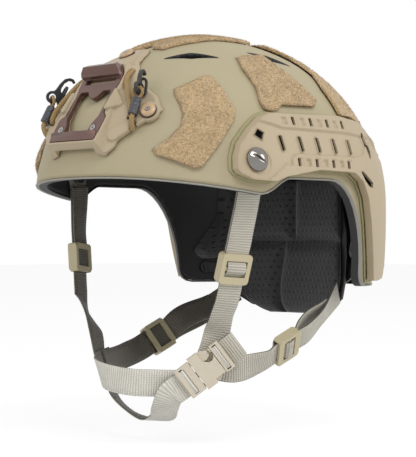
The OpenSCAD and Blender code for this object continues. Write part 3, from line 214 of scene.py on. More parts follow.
def follow_shell(bm, levels, reach, longest, carve=None):
    """Draws a CAD copy true to the shell: its points keep their height over it, snapped to levels."""
    height = bm.verts.layers.float.new("height")
    bm.verts.ensure_lookup_table()
    lifts = lift_of(np.array([v.co for v in bm.verts]))
    for level in levels:
        lifts = np.where(np.abs(lifts - level) < reach, level, lifts)
    for v, lift in zip(bm.verts, lifts):
        v[height] = lift
    for _ in range(7):
        long_edges = [e for e in bm.edges if e.calc_length() > longest]
        if not long_edges:
            break
        bmesh.ops.subdivide_edges(bm, edges=long_edges, cuts=1)
        bmesh.ops.triangulate(bm, faces=[f for f in bm.faces if len(f.verts) > 3])
    p = np.array([v.co for v in bm.verts])
    lifts = np.array([v[height] for v in bm.verts])
    if carve:
        lifts = carve(p, lifts)
    for v, place in zip(bm.verts, settle(p, lifts)):
        v.co = place
    return bm


def make_piece(name, bm, nodes, materials, sharp=35, bevel=0.0, segments=2):
    mesh = bpy.data.meshes.new(name)
    bm.to_mesh(mesh)
    bm.free()
    for material in materials if isinstance(materials, (list, tuple)) else [materials]:
        mesh.materials.append(material)
    mesh.shade_smooth()
    mesh.set_sharp_from_angle(angle=math.radians(sharp))
    piece = bpy.data.objects.new(name, mesh)
    scene.collection.objects.link(piece)
    if bevel:
        edge = piece.modifiers.new("rounded_edges", "BEVEL")
        edge.width = bevel
        edge.segments = segments
        edge.limit_method = "ANGLE"
        edge.angle_limit = math.radians(38)
    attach(piece, frame["nodes"][nodes[0]]["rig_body"])
    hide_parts(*nodes)
    return piece


def new_group(name, ins, outs):
    group = bpy.data.node_groups.new(name, "ShaderNodeTree")
    for label, kind, value in ins:
        socket = group.interface.new_socket(label, in_out="INPUT", socket_type=kind)
        if value is not None:
            socket.default_value = value
    for label, kind in outs:
        group.interface.new_socket(label, in_out="OUTPUT", socket_type=kind)
    return group, add_node(group, "NodeGroupInput"), add_node(group, "NodeGroupOutput")


def noise(tree, place, scale, detail, **more):
    inputs = {"Vector": place, "Scale": scale, "Detail": detail, **more}
    return add_node(tree, "ShaderNodeTexNoise", inputs).outputs["Fac"]


def remap(tree, value, low, high, start=0.0, end=1.0):
    """Draws low..high out to start..end."""
    return add_node(tree, "ShaderNodeMapRange", {"Value": value, "From Min": low, "From Max": high,
        "To Min": start, "To Max": end}).outputs[0]


def scaled(tree, vector, factor):
    return add_node(tree, "ShaderNodeVectorMath", {0: vector, "Scale": factor},
        operation="SCALE").outputs[0]


def place_of(tree):
    return add_node(tree, "ShaderNodeTexCoord").outputs["Object"]


def emboss(tree, shader, height, strength, distance):
    relief = add_node(tree, "ShaderNodeBump", {"Height": height, "Strength": strength,
        "Distance": distance})
    tree.links.new(relief.outputs["Normal"], shader.inputs["Normal"])


# The grain of the shell's coating, which every moulded or coated piece shares: slow mottle,
# fine grain and a few dark specks
grain_group, grain_in, grain_out = new_group("moulded_grain", [
    ("Colour", "NodeSocketColor", (0.5, 0.5, 0.5, 1)), ("Grain size", "NodeSocketFloat", 1500.0),
    ("Mottle", "NodeSocketFloat", 0.06), ("Specks", "NodeSocketFloat", 0.0),
    ("Roughness", "NodeSocketFloat", 0.5)],
    [("Colour", "NodeSocketColor"), ("Roughness", "NodeSocketFloat"), ("Height", "NodeSocketFloat")])
grain_place = place_of(grain_group)
grain_fine = noise(grain_group, grain_place, grain_in.outputs["Grain size"], 3.0, Roughness=0.6)
grain_slow = noise(grain_group, grain_place, 28.0, 4.0, Roughness=0.6)
grain_spots = add_node(grain_group, "ShaderNodeTexVoronoi", {"Vector": grain_place, "Scale": 90.0})
grain_dots = remap(grain_group, grain_spots.outputs["Distance"], 0.035, 0.06, 1.0, 0.0)
grain_centre = calc(grain_group, "SUBTRACT", grain_slow, 0.5)
grain_amount = calc(grain_group, "MULTIPLY", grain_centre, grain_in.outputs["Mottle"])
grain_tone = calc(grain_group, "MULTIPLY_ADD", grain_amount, 4.0, 1.0)
grain_speck = calc(grain_group, "MULTIPLY", grain_dots, grain_in.outputs["Specks"])
grain_dark = calc(grain_group, "SUBTRACT", grain_tone, grain_speck)
grain_colour = scaled(grain_group, grain_in.outputs["Colour"], grain_dark)
grain_gloss = calc(grain_group, "MULTIPLY_ADD", grain_centre, 0.25, grain_in.outputs["Roughness"])
grain_group.links.new(grain_colour, grain_out.inputs["Colour"])
grain_group.links.new(grain_gloss, grain_out.inputs["Roughness"])
grain_group.links.new(grain_fine, grain_out.inputs["Height"])


def grained(name, colour, roughness, metallic=0.0, grain=1500.0, mottle=0.05, specks=0.0,
            bump=0.0001, strength=0.3):
    material, tree, shader = new_material(name, colour, roughness, metallic)
    group = add_node(tree, "ShaderNodeGroup", {"Colour": (*colour, 1), "Grain size": grain,
        "Mottle": mottle, "Specks": specks, "Roughness": roughness}, node_tree=grain_group)
    emboss(tree, shader, group.outputs["Height"], strength, bump)
    tree.links.new(group.outputs["Colour"], shader.inputs["Base Color"])
    tree.links.new(group.outputs["Roughness"], shader.inputs["Roughness"])
    return material


shell_coat = grained("shell_coat", (0.445, 0.385, 0.245), 0.62, grain=2200, mottle=0.03, specks=0.18,
    bump=0.00012, strength=0.35)
shell_bm = follow_shell(cad_copy("shell"), (0, -WALL), 0.0012, 0.004)
inner_black = grained("inner_black", (0.018, 0.018, 0.018), 0.55, grain=1200, mottle=0.08)
shell_height = shell_bm.verts.layers.float["height"]
for f in shell_bm.faces:
    heights = [v[shell_height] for v in f.verts]
    inner_side = max(heights) < 0.0005 - WALL
    vent_wall = min(heights) < -0.001 and f.calc_center_median().z > 0.05
    if inner_side or vent_wall:
        f.material_index = 1
make_piece("helmet_shell", shell_bm, ["shell"], [shell_coat, inner_black], sharp=50)

# Edge seal: a rubber strip pressed on all round the rim, black but for its pale outer lip.
# The height over the shell is kept in the UV map, for the mask between the two colours.


def mix_sockets(tree, factor, a, b):
    """A colour mix between two colours or colour sockets."""
    node = tree.nodes.new("ShaderNodeMix")
    node.data_type = "RGBA"
    for index, value in ((0, factor), (6, a), (7, b)):
        if isinstance(value, bpy.types.NodeSocket):
            tree.links.new(value, node.inputs[index])
        else:
            node.inputs[index].default_value = value
    return node.outputs[2]


def uv_of(tree):
    return add_node(tree, "ShaderNodeUVMap", uv_map="UVMap").outputs["UV"]


seal_rubber, seal_tree, seal_shader = new_material("seal_rubber", (0.3, 0.285, 0.235), 0.6)
seal_side = add_node(seal_tree, "ShaderNodeSeparateXYZ", {0: uv_of(seal_tree)})
seal_mask = remap(seal_tree, seal_side.outputs["X"], 0.4, 0.5)
seal_bm = cad_copy("edge_seal")
seal_uv = seal_bm.loops.layers.uv.new("UVMap")
seal_bm.verts.index_update()
seal_heights = lift_of(np.array([v.co for v in seal_bm.verts]))
for f in seal_bm.faces:
    for loop in f.loops:
        loop[seal_uv].uv = (1 + 0.3 * seal_heights[loop.vert.index] / 0.001, 0.5)
seal_tree.links.new(mix_sockets(seal_tree, seal_mask, (0.016, 0.016, 0.016, 1),
    (0.34, 0.325, 0.28, 1)), seal_shader.inputs["Base Color"])
make_piece("rim_seal", seal_bm, ["edge_seal"], seal_rubber, sharp=40, bevel=0.0004)

# Vent screens: fine black mesh laid behind the four vents, where it shows dark through them.
# The sheets are plain and their holes are in the material.
screen_mesh, screen_tree, screen_shader = new_material("screen_mesh", (0.012, 0.012, 0.012), 0.6)
screen_place = place_of(screen_tree)
screen_cells = add_node(screen_tree, "ShaderNodeTexVoronoi", {"Vector": screen_place, "Scale": 700.0})
screen_tone = remap(screen_tree, screen_cells.outputs["Distance"], 0.2, 0.6, 0.004, 0.05)
screen_tree.links.new(screen_tone, screen_shader.inputs["Base Color"])
make_piece("vent_mesh", cad_copy("vent_screens"), ["vent_screens"], screen_mesh)

# Impact liner: a moulded cap of black foam that lines the crown of the shell. The comfort
# pads are held on its inner face.
foam_black = grained("foam_black", (0.02, 0.02, 0.021), 0.8, grain=500, mottle=0.12, bump=0.0004,
    strength=0.5)
liner_bm = follow_shell(cad_copy("impact_liner"), (-0.00805, -0.02005), 0.0012, 0.006)
make_piece("foam_liner", liner_bm, ["impact_liner"], foam_black, sharp=50)

# Comfort pads: foam in a black perforated knit, held to the liner and walls by loop.
# Each is drawn from its own plan, with a crowned face between drawn-in sides.
HOLE_PITCH = 0.0052
PAD_BLACK = (0.032, 0.032, 0.033)
knit_group, knit_in, knit_out = new_group("perforated_knit", [
    ("Vector", "NodeSocketVector", None)],
    [("Hole", "NodeSocketFloat"), ("Height", "NodeSocketFloat")])
knit_grid = scaled(knit_group, knit_in.outputs["Vector"], 1 / HOLE_PITCH)
knit_parts = add_node(knit_group, "ShaderNodeSeparateXYZ", {0: knit_grid})
knit_row = calc(knit_group, "FLOOR", knit_parts.outputs["Y"])
knit_shift = calc(knit_group, "MULTIPLY_ADD", knit_row, 0.5, knit_parts.outputs["X"])
knit_u = calc(knit_group, "FRACT", knit_shift)
knit_v = calc(knit_group, "FRACT", knit_parts.outputs["Y"])
knit_cell = add_node(knit_group, "ShaderNodeCombineXYZ", {"X": knit_u, "Y": knit_v})
knit_far = add_node(knit_group, "ShaderNodeVectorMath", {0: knit_cell.outputs[0], 1: (0.5, 0.5, 0)},
    operation="DISTANCE")
knit_hole = remap(knit_group, knit_far.outputs["Value"], 0.16, 0.25, 1.0, 0.0)
knit_thread = noise(knit_group, knit_in.outputs["Vector"], 1600.0, 2.0)
knit_low = calc(knit_group, "MULTIPLY", knit_thread, 0.25)
knit_height = calc(knit_group, "SUBTRACT", knit_low, knit_hole)
knit_group.links.new(knit_hole, knit_out.inputs["Hole"])
knit_group.links.new(knit_height, knit_out.inputs["Height"])
pad_knit, pad_tree, pad_shader = new_material("pad_knit", PAD_BLACK, 0.65)
pad_shader.inputs["Sheen Weight"].default_value = 0.4
pad_shader.inputs["Sheen Roughness"].default_value = 0.5
pad_weave = add_node(pad_tree, "ShaderNodeGroup", {"Vector": uv_of(pad_tree)}, node_tree=knit_group)
emboss(pad_tree, pad_shader, pad_weave.outputs["Height"], 0.8, 0.0006)
# The perforation holes are darkened almost to black: painted shade inside the holes, on top of the real dip
# given by the bump
pad_tree.links.new(mix_sockets(pad_tree, pad_weave.outputs["Hole"], (*PAD_BLACK, 1),
    (0.002, 0.002, 0.002, 1)), pad_shader.inputs["Base Color"])


def mm(*numbers):
    return Vector(numbers) / 1000


def level_of(z, lift):
    height = (CROWN + WIDEST if z > -WIDEST else SKIRT) + lift
    return (1 - abs((z + WIDEST) / height) ** SIDE_N) ** (1 / SIDE_N)


def side_point(y, z, lift):
    n, length = (FRONT_N, FRONT + lift) if y < 0 else (REAR_N, REAR + lift)
    r = level_of(z, lift)
    return Vector(((HALF_W + lift) * r * max(1 - abs(y / (length * r)) ** n, 1e-6) ** (1 / n), y, z))


def front_point(x, z, lift):
    r = level_of(z, lift)
    inside = max(1 - abs(x / ((HALF_W + lift) * r)) ** FRONT_N, 1e-6)
    return Vector((x, -(FRONT + lift) * r * inside ** (1 / FRONT_N), z))


def top_point(x, y, lift):
    n, length = (FRONT_N, FRONT + lift) if y < 0 else (REAR_N, REAR + lift)
    flat = (abs(x / (HALF_W + lift)) ** n + abs(y / length) ** n) ** (1 / n)
    return Vector((x, y, -WIDEST + (CROWN + WIDEST + lift) * (1 - flat ** SIDE_N) ** (1 / SIDE_N)))


def swell(u, v):
    a, b = 1 - abs(2 * u - 1) ** 4, 1 - abs(2 * v - 1) ** 4
    return 0.35 + 0.65 * max(a * b, 0) ** 0.5


def make_pad(name, place, size, cells, thick, nodes, groove=None, mirror=False):
    """place(u, v, depth) gives a point of the pad, depth from its back; size is its spread in metres."""
    bm = bmesh.new()
    uv = bm.loops.layers.uv.new("UVMap")
    bmesh.ops.create_grid(bm, x_segments=cells[0], y_segments=cells[1], size=0.5, calc_uvs=True)
    for f in bm.faces:
        for loop in f.loops:
            loop[uv].uv = ((loop.vert.co.x + 0.5) * size[0], (loop.vert.co.y + 0.5) * size[1])
    face_side = list(bm.faces)
    back = bmesh.ops.duplicate(bm, geom=face_side)
    back_faces = [g for g in back["geom"] if isinstance(g, bmesh.types.BMFace)]
    back_verts = [g for g in back["geom"] if isinstance(g, bmesh.types.BMVert)]
    hidden = set(back_verts)
    bmesh.ops.reverse_faces(bm, faces=back_faces)
    rims = [e for e in bm.edges if e.is_boundary]
    for v in bm.verts:
        if v in hidden:
            v.co.z = -1
    bmesh.ops.bridge_loops(bm, edges=rims)
    for v in bm.verts:
        a, b = v.co.x + 0.5, v.co.y + 0.5
        deep = 0.0 if v in hidden else thick * swell(a, b) * (groove(a, b) if groove else 1)
        v.co = place(a, b, deep)
    if mirror:
        bmesh.ops.scale(bm, verts=bm.verts, vec=(-1, 1, 1))
    bmesh.ops.recalc_face_normals(bm, faces=bm.faces)
    piece = make_piece(name, bm, nodes, pad_knit, sharp=80)
    return piece


PAD_BACK = -0.0214
PAD_THICK = 0.009


def middle_seam(u, v):
    return 1 - 0.3 * math.exp(-((u - 0.5) * 21) ** 2)


make_pad("brow_pad", lambda u, v, d: front_point(0.063 * (2 * u - 1), 0.016 + 0.036 * v, PAD_BACK - d),
    (0.13, 0.04), (60, 20), PAD_THICK, ["front_pad"], groove=middle_seam)
make_pad("top_pad", lambda u, v, d: top_point(0.042 * (2 * u - 1), 0.052 * (2 * v - 1), PAD_BACK - d),
    (0.084, 0.104), (44, 44), PAD_THICK, ["crown_pad"], groove=middle_seam)
for side, flip in (("left", False), ("right", True)):
    make_pad(f"temple_pad_{side}", lambda u, v, d: side_point(-0.033 + 0.075 * u, 0.030 + 0.032 * v,
        PAD_BACK - d), (0.075, 0.034), (40, 20), PAD_THICK, [f"side_pad_{side}"], mirror=flip)


def catmull(a, b, c, d, t):
    return 0.5 * (2 * b + (c - a) * t + (2 * a - 5 * b + 4 * c - d) * t * t
        + (3 * b - a - 3 * c + d) * t ** 3)


def curve_through(points, steps):
    last = len(points) - 1
    found = [catmull(points[max(i - 1, 0)], points[i], points[i + 1], points[min(i + 2, last)], k / steps)
        for i in range(last) for k in range(steps)]
    return found + [points[last]]


wall_pad_front = curve_through([mm(*p, 0) for p in ((85, -61), (81, -58), (79, -53), (88, -40),
    (97, -25), (98, -12), (98, 4))], 10)
wall_pad_rear = curve_through([mm(*p, 0) for p in ((92, -61), (98, -56), (104, -49), (112, -36),
    (114, -25), (114, -12), (112, 4))], 10)


def wall_pad(u, v, d):
    p = wall_pad_front[round(v * 60)].lerp(wall_pad_rear[round(v * 60)], u)
    return side_point(p.x, p.y, -WALL - 0.00125 - d)


for side, flip in (("left", False), ("right", True)):
    make_pad(f"wall_pad_{side}", wall_pad, (0.022, 0.07), (20, 60), PAD_THICK,
        [f"rear_side_pad_{side}"], mirror=flip)

# Nape pad: a wide pad of foam in the same perforated knit, with a stitched cross of seams,
# held on the cradle's plate at the back of the neck
NAPE_R, NAPE_FACE, NAPE_HALF, NAPE_DROP, NAPE_THICK = 0.146, 0.102, 0.058, 0.106, 0.008


def nape_half(v):
    return NAPE_HALF * math.sqrt(1 - 0.8 * (max(0, 0.36 - v) / 0.36) ** 2.8)


def nape_place(u, v, d):
    x = (2 * u - 1) * nape_half(v)
    r = NAPE_R + NAPE_THICK - d
    return Vector((x, NAPE_FACE - NAPE_R + math.sqrt(r * r - x * x), -NAPE_DROP + v * (NAPE_DROP + 0.004)))


def nape_seams(u, v):
    lean = -0.010 - 0.012 * (0.55 - v) / 0.55 if v < 0.55 else 0
    across = math.exp(-abs(((2 * u - 1) * NAPE_HALF - lean) / 0.0048) ** 1.4)
    along = math.exp(-abs((v * 0.112 - 0.061) / 0.0048) ** 1.4)
    return 1 - 0.8 * max(across, along)


make_pad("nape_cushion", nape_place, (0.116, 0.112), (110, 110), NAPE_THICK, ["nape_pad"],
    groove=nape_seams)

# Loop panels: a cut sheet of woven loop pile glued on the shell, with seeded tufts that stand
# up from its face and fray its edges
pile_group, pile_in, pile_out = new_group("loop_pile", [("Colour", "NodeSocketColor", (0.5, 0.4, 0.2, 1))],
    [("Colour", "NodeSocketColor"), ("Height", "NodeSocketFloat")])
pile_place = place_of(pile_group)
pile_tufts = add_node(pile_group, "ShaderNodeTexVoronoi", {"Vector": pile_place, "Scale": 620.0})
pile_blotch = noise(pile_group, pile_place, 520.0, 3.0, Roughness=0.7)
pile_wide = noise(pile_group, pile_place, 90.0, 2.0)
pile_sum = calc(pile_group, "MULTIPLY_ADD", pile_blotch, 0.8, 0.37)
pile_more = calc(pile_group, "MULTIPLY_ADD", pile_wide, 0.4, pile_sum)
pile_pits = calc(pile_group, "MULTIPLY_ADD", pile_tufts.outputs["Distance"], -0.2, pile_more)
pile_tone = scaled(pile_group, pile_in.outputs["Colour"], pile_pits)
pile_high = calc(pile_group, "SUBTRACT", pile_blotch, pile_tufts.outputs["Distance"])
pile_group.links.new(pile_tone, pile_out.inputs["Colour"])
pile_group.links.new(pile_high, pile_out.inputs["Height"])


def loop_material(name, colour):
    material, tree, shader = new_material(name, colour, 0.95)
    shader.inputs["Sheen Weight"].default_value = 0.3
    pile = add_node(tree, "ShaderNodeGroup", {"Colour": (*colour, 1)}, node_tree=pile_group)
    emboss(tree, shader, pile.outputs["Height"], 0.9, 0.0009)
    tree.links.new(pile.outputs["Colour"], shader.inputs["Base Color"])
    return material


loop_tan = loop_material("loop_tan_pile", (0.66, 0.48, 0.27))
loop_brown = loop_material("loop_brown_pile", (0.12, 0.085, 0.055))
LOOP_T = 0.0024
PANEL_LIFT, REAR_PANEL_LIFT = 0.00055, 0.00135
TUFTS_PER_AREA, MOST_TUFTS, TUFT_LEN, TUFT_R = 2.2e6, 26000, 0.0011, 0.0002


def add_tufts(bm, count, height, seed):
    """Stands short slanting spikes of pile on a panel, some of them out over its edges."""
    dice = np.random.default_rng(seed)
    faces = list(bm.faces)
    areas = np.array([f.calc_area() for f in faces])
    for pick in dice.choice(len(faces), count, p=areas / areas.sum()):
        f = faces[pick]
        a, b, c = [v.co for v in f.verts[:3]]
        u, v = [float(x) for x in dice.random(2)]
        u, v = (u, v) if u + v < 1 else (1 - u, 1 - v)
        foot = a + u * (b - a) + v * (c - a)
        up = (f.normal + Vector(dice.normal(0, 0.6, 3))).normalized()
        up = up * (height * (0.5 + 0.8 * float(dice.random())))
        side = up.cross(Vector(dice.normal(0, 1, 3))).normalized() * TUFT_R
        across = up.cross(side).normalized() * TUFT_R
        base = [bm.verts.new(foot + p) for p in (side, across - 0.5 * side, -across - 0.5 * side)]
        tip = bm.verts.new(foot + up)
        bm.faces.new((base[2], base[1], base[0]))
        for k in range(3):
            bm.faces.new((base[k], base[(k + 1) % 3], tip))


for node in ("chevron_loop_left", "chevron_loop_right", "rear_side_loop_left", "rear_side_loop_right",
        "top_loop_panel", "rear_loop_panel"):
    low = REAR_PANEL_LIFT if node == "rear_loop_panel" else PANEL_LIFT
    panel = follow_shell(cad_copy(node), (low, low + LOOP_T), 0.0003, 0.004)
    panel.normal_update()
    bmesh.ops.recalc_face_normals(panel, faces=panel.faces)
    top_area = sum(f.calc_area() for f in panel.faces) / 2
    add_tufts(panel, min(int(top_area * TUFTS_PER_AREA), MOST_TUFTS), TUFT_LEN, 7)
    make_piece(node.replace("loop", "pile"), panel, [node], loop_tan, sharp=60)
tab_bm = follow_shell(cad_copy("liner_loop_tabs"), (), 0.0003, 0.004)
make_piece("liner_tabs", tab_bm, ["liner_loop_tabs"], loop_brown, sharp=40)

# Rails: moulded nylon bars down each side, with a sunk channel of slots between two raised
# bands of small windows, on an olive gasket, held by the domed bolt and a rear screw.
moulded_tan = grained("moulded_tan", (0.465, 0.378, 0.25), 0.5, grain=1800, mottle=0.025, bump=0.00008)
gasket_rubber = grained("gasket_rubber", (0.36, 0.33, 0.17), 0.6, grain=900, mottle=0.06)
UPPER_BAND = ((-54, 42), (-43, 39.3), (-33, 37), (-27, 35.3), (48, 35), (80, 33), (80, 70), (-60, 70))
LOWER_BAND = ((-50, -5), (-40, 1.2), (-19, 16.4), (-17, 17), (48, 17.3), (62, 19), (68, 26), (80, 30),
    (120, 0), (120, -90), (60, -90), (0, -5))


def depth_in(points, outline):
    """Distance inside an outline, under 0 outside it, for points on the rail's side view."""
    outline = np.array(outline) / 1000
    nearest = np.full(len(points), 1.0)
    inside = np.zeros(len(points), bool)
    for a, b in zip(outline, np.roll(outline, -1, 0)):
        run = b - a
        t = np.clip(((points - a) @ run) / (run @ run), 0, 1)
        nearest = np.minimum(nearest, np.hypot(*(points - a - t[:, None] * run).T))
        crosses = (a[1] > points[:, 1]) != (b[1] > points[:, 1])
        with np.errstate(divide="ignore", invalid="ignore"):
            at = a[0] + (points[:, 1] - a[1]) * run[0] / run[1]
        inside ^= crosses & (points[:, 0] < at)
    return np.where(inside, nearest, -nearest)


def ramp(value, low, high):
    t = np.clip((value - low) / (high - low), 0, 1)
    return t * t * (3 - 2 * t)


def window(y, z, half_y, half_z):
    return ((y - half_y, z - half_z), (y + half_y, z - half_z), (y + half_y, z + half_z),
        (y - half_y, z + half_z))


SLOT_Z, SLOT_PITCH = 24, 18.7
SLOTS = [-30 + SLOT_PITCH * i for i in range(5)]
WINDOWS = [(y + SLOT_PITCH * i, z) for y, z in ((-14, 41), (-16, 10.5)) for i in range(4)]
RAIL_FOOT, RAIL_TOP = 0.0026, 0.009
CHANNEL_DEPTH, DIMPLE_DEPTH, POCKET_DEPTH, BOLT_SEAT_DEPTH = 0.0019, 0.0017, 0.0021, 0.0026
DIMPLE_STEP, SCOOP_DEPTH = 9.4, 0.0006
# Painted shade for the rail's holes: slot and window walls below this lift turn black, and black floor
# sheets sit at these lifts, spread past each hole
SHADE_BELOW, SHADE_FLOOR, SHADE_FLOOR_SPREAD = 0.0067, (0.0024, 0.003), 1.15


def rail_relief(p, lifts):
    """Sinks the channel, its slot pockets, the dimples between windows and the bolt's seat."""
    side_view = p[:, 1:3]
    band = np.maximum(ramp(depth_in(side_view, UPPER_BAND), -0.0006, 0.0009),
        ramp(depth_in(side_view, LOWER_BAND), -0.0006, 0.0009))
    sunk = CHANNEL_DEPTH * (1 - band)
    dips = [(DIMPLE_DEPTH, window(y - DIMPLE_STEP, z, 2.3, 2.6)) for y, z in WINDOWS]
    dips += [(SCOOP_DEPTH, window(y + 0.8, z, 3, 3.6)) for y, z in WINDOWS]
    for depth, outline in dips:
        sunk = np.maximum(sunk, depth * ramp(depth_in(side_view, outline), -0.0003, 0.0005))
    for y in SLOTS:
        pocket = ramp(depth_in(side_view, window(y + 1.2, SLOT_Z, 3.2, 7.2)), -0.0004, 0.0006)
        sunk = np.maximum(sunk, POCKET_DEPTH * pocket)
    from_bolt = np.hypot(side_view[:, 0] + 0.052, side_view[:, 1] - 0.010)
    sunk = np.maximum(sunk, BOLT_SEAT_DEPTH * (1 - ramp(from_bolt, 0.0094, 0.0108)))
    return np.where(lifts > RAIL_TOP - 0.0002, lifts - sunk, lifts)


RAIL_HOLES = [window(y, SLOT_Z, 3.6, 8.2) for y in SLOTS] + [window(y, z, 2.9, 3.9) for y, z in WINDOWS]
RAIL_HOLES += [((-54.5, 29), (-49, 35.5), (-42.5, 31), (-46.5, 23.5)),
    ((64.5, 37), (69.5, 38.5), (77.5, 22), (75.5, 15.5), (71, 15.5)),
    ((53.5, 7.5), (58.5, 8), (67, 3.5), (74.5, -2), (73.5, -7.5), (65, -6.5), (59, -2))]


def paint_hole_shade(bm, flip):
    """Paints shade into the slots and windows: their walls under the bevels turn black, and each gets a
    black floor sheet, painted shadow for the deep holes.
    """
    faces = list(bm.faces)
    centres = np.array([f.calc_center_median() for f in faces])
    height = lift_of(centres)
    inside = np.zeros(len(faces), bool)
    for hole in RAIL_HOLES:
        inside |= depth_in(centres[:, 1:3], hole) > 0
    for f, dark in zip(faces, inside & (height < SHADE_BELOW)):
        f.material_index = int(dark)
    for hole in RAIL_HOLES:
        middle = np.mean(hole, 0)
        spread = (middle + (np.array(hole) - middle) * SHADE_FLOOR_SPREAD) / 1000
        rings = []
        for lift in SHADE_FLOOR:
            rings.append([bm.verts.new(side_point(*p, lift)) for p in spread])
            for v in rings[-1]:
                v.co.x *= flip
        count = len(hole)
        walls = [(rings[0][k], rings[0][(k + 1) % count], rings[1][(k + 1) % count], rings[1][k])
            for k in range(count)]
        for corners in [rings[0][::-1], rings[1], *walls]:
            bm.faces.new(corners).material_index = 1


# Painted shade: the black of the slot walls and floor sheets, standing in for the deep shadow in the holes
painted_hole_shade = grained("painted_hole_shade", (0.012, 0.012, 0.012), 0.8, grain=900, mottle=0.05)
for side, flip in (("left", 1), ("right", -1)):
    rail_bm = follow_shell(cad_copy(f"rail_{side}"), (RAIL_FOOT, RAIL_TOP), 0.0009, 0.0013, rail_relief)
    paint_hole_shade(rail_bm, flip)
    make_piece(f"side_rail_{side}", rail_bm, [f"rail_{side}"], [moulded_tan, painted_hole_shade],
        sharp=40)
    gasket_bm = follow_shell(cad_copy(f"rail_gasket_{side}"), (0.00025, 0.00145), 0.0002, 0.003)
    make_piece(f"gasket_{side}", gasket_bm, [f"rail_gasket_{side}"], gasket_rubber)

# Bolts, washers, screws and nuts: dark domed bolts and black rear screws on the rails, tan
# buttons with a small steel screw on the shroud, and black nuts on the inside
bolt_chrome = grained("bolt_chrome", (0.24, 0.225, 0.21), 0.09, metallic=1.0, grain=60, mottle=0.05,
    bump=0.00002)
bright_steel = grained("bright_steel", (0.36, 0.35, 0.33), 0.28, metallic=0.9, grain=400, mottle=0.05)
button_paint = grained("button_paint", (0.52, 0.36, 0.215), 0.42, metallic=0.15, grain=1600, mottle=0.03)
black_nylon = grained("black_nylon", (0.016, 0.016, 0.018), 0.42, grain=1400, mottle=0.05,
    bump=0.00006)


def hard_copy(name, node, material, bevel, sharp=30, segments=2):
    """A stiff CAD piece with its flats joined up again and its edges eased."""
    bm = cad_copy(node)
    bmesh.ops.dissolve_limit(bm, angle_limit=math.radians(1), verts=bm.verts, edges=bm.edges)
    return make_piece(name, bm, [node], material, sharp=sharp, bevel=bevel, segments=segments)


hard_copy("domed_bolts", "rail_bolts", bolt_chrome, 0.0003, sharp=40)
hard_copy("inner_nuts", "strap_nuts", black_nylon, 0.0005)
hard_copy("rear_screws", "rail_rear_screws", black_nylon, 0.0004)
hard_copy("tan_buttons", "shroud_buttons", button_paint, 0.0004)
hard_copy("button_rings", "button_washers", black_nylon, 0.0002)
hard_copy("small_screws", "button_screws", bright_steel, 0.0002)

# Shroud: a moulded base bent to the brow, with a milled and bronze-coated metal insert held
# in it by two steel screws
shroud_body = make_piece("shroud_body", cad_copy("shroud_base"), ["shroud_base"], moulded_tan,
    sharp=180)
fine = shroud_body.modifiers.new("even_skin", "REMESH")
fine.mode = "VOXEL"
fine.voxel_size = 0.0006
fine.use_smooth_shade = True
soft = shroud_body.modifiers.new("soft_edges", "SMOOTH")
soft.factor = 0.5
soft.iterations = 5
bronze_coat = grained("bronze_coat", (0.15, 0.084, 0.071), 0.27, metallic=0.6, grain=2600, mottle=0.04,
    bump=0.00003)
hard_copy("metal_insert", "shroud_insert", bronze_coat, 0.0005)
hard_copy("insert_bolts", "insert_screws", bright_steel, 0.0002)

# Elastic cords: braided ochre cord across each wing, and a loop with a shrunk sleeve and a
# black moulded hook at each side of the shroud
CORD_D = 0.0038


def sweep_ring(bm, places, marks):
    """Draws a ring out through rows of places with one mark for each place, for the texture."""
    tag = bm.verts.layers.float_vector.get("tag") or bm.verts.layers.float_vector.new("tag")
    count = len(places[0])
    ring = [bm.verts.new(place) for place in places[0]]
    edges = [bm.edges.new((ring[i], ring[(i + 1) % count])) for i in range(count)]
    for v, mark in zip(ring, marks[0]):
        v[tag] = mark
    for row, row_marks in zip(places[1:], marks[1:]):
        made = bmesh.ops.extrude_edge_only(bm, edges=edges)["geom"]
        fresh = {g for g in made if isinstance(g, bmesh.types.BMVert)}
        ring = [next(e.other_vert(v) for e in v.link_edges if e.other_vert(v) in fresh) for v in ring]
        edges = [bm.edges.get((ring[i], ring[(i + 1) % count])) for i in range(count)]
        for v, place, mark in zip(ring, row, row_marks):
            v.co = place
            v[tag] = mark


def close_ends(bm):
    bmesh.ops.holes_fill(bm, edges=[e for e in bm.edges if e.is_boundary], sides=0)
    tag = bm.verts.layers.float_vector["tag"]
    uv = bm.loops.layers.uv.new("UVMap")
    for f in bm.faces:
        for loop in f.loops:
            loop[uv].uv = loop.vert[tag].xy
    bmesh.ops.recalc_face_normals(bm, faces=bm.faces)


def round_cord(bm, path, across, diameter=CORD_D, sides=14):
    rows, marks, run = [], [], 0.0
    for i, p in enumerate(path):
        t = (path[min(i + 1, len(path) - 1)] - path[max(i - 1, 0)]).normalized()
        u = t.cross(across).normalized()
        w = t.cross(u)
        run += (p - path[i - 1]).length if i else 0
        turns = [2 * math.pi * k / sides for k in range(sides)]
        rows.append([p + diameter / 2 * (u * math.cos(a) + w * math.sin(a)) for a in turns])
        marks.append([Vector((run, abs(a - math.pi) * diameter / 2, 0)) for a in turns])
    sweep_ring(bm, rows, marks)


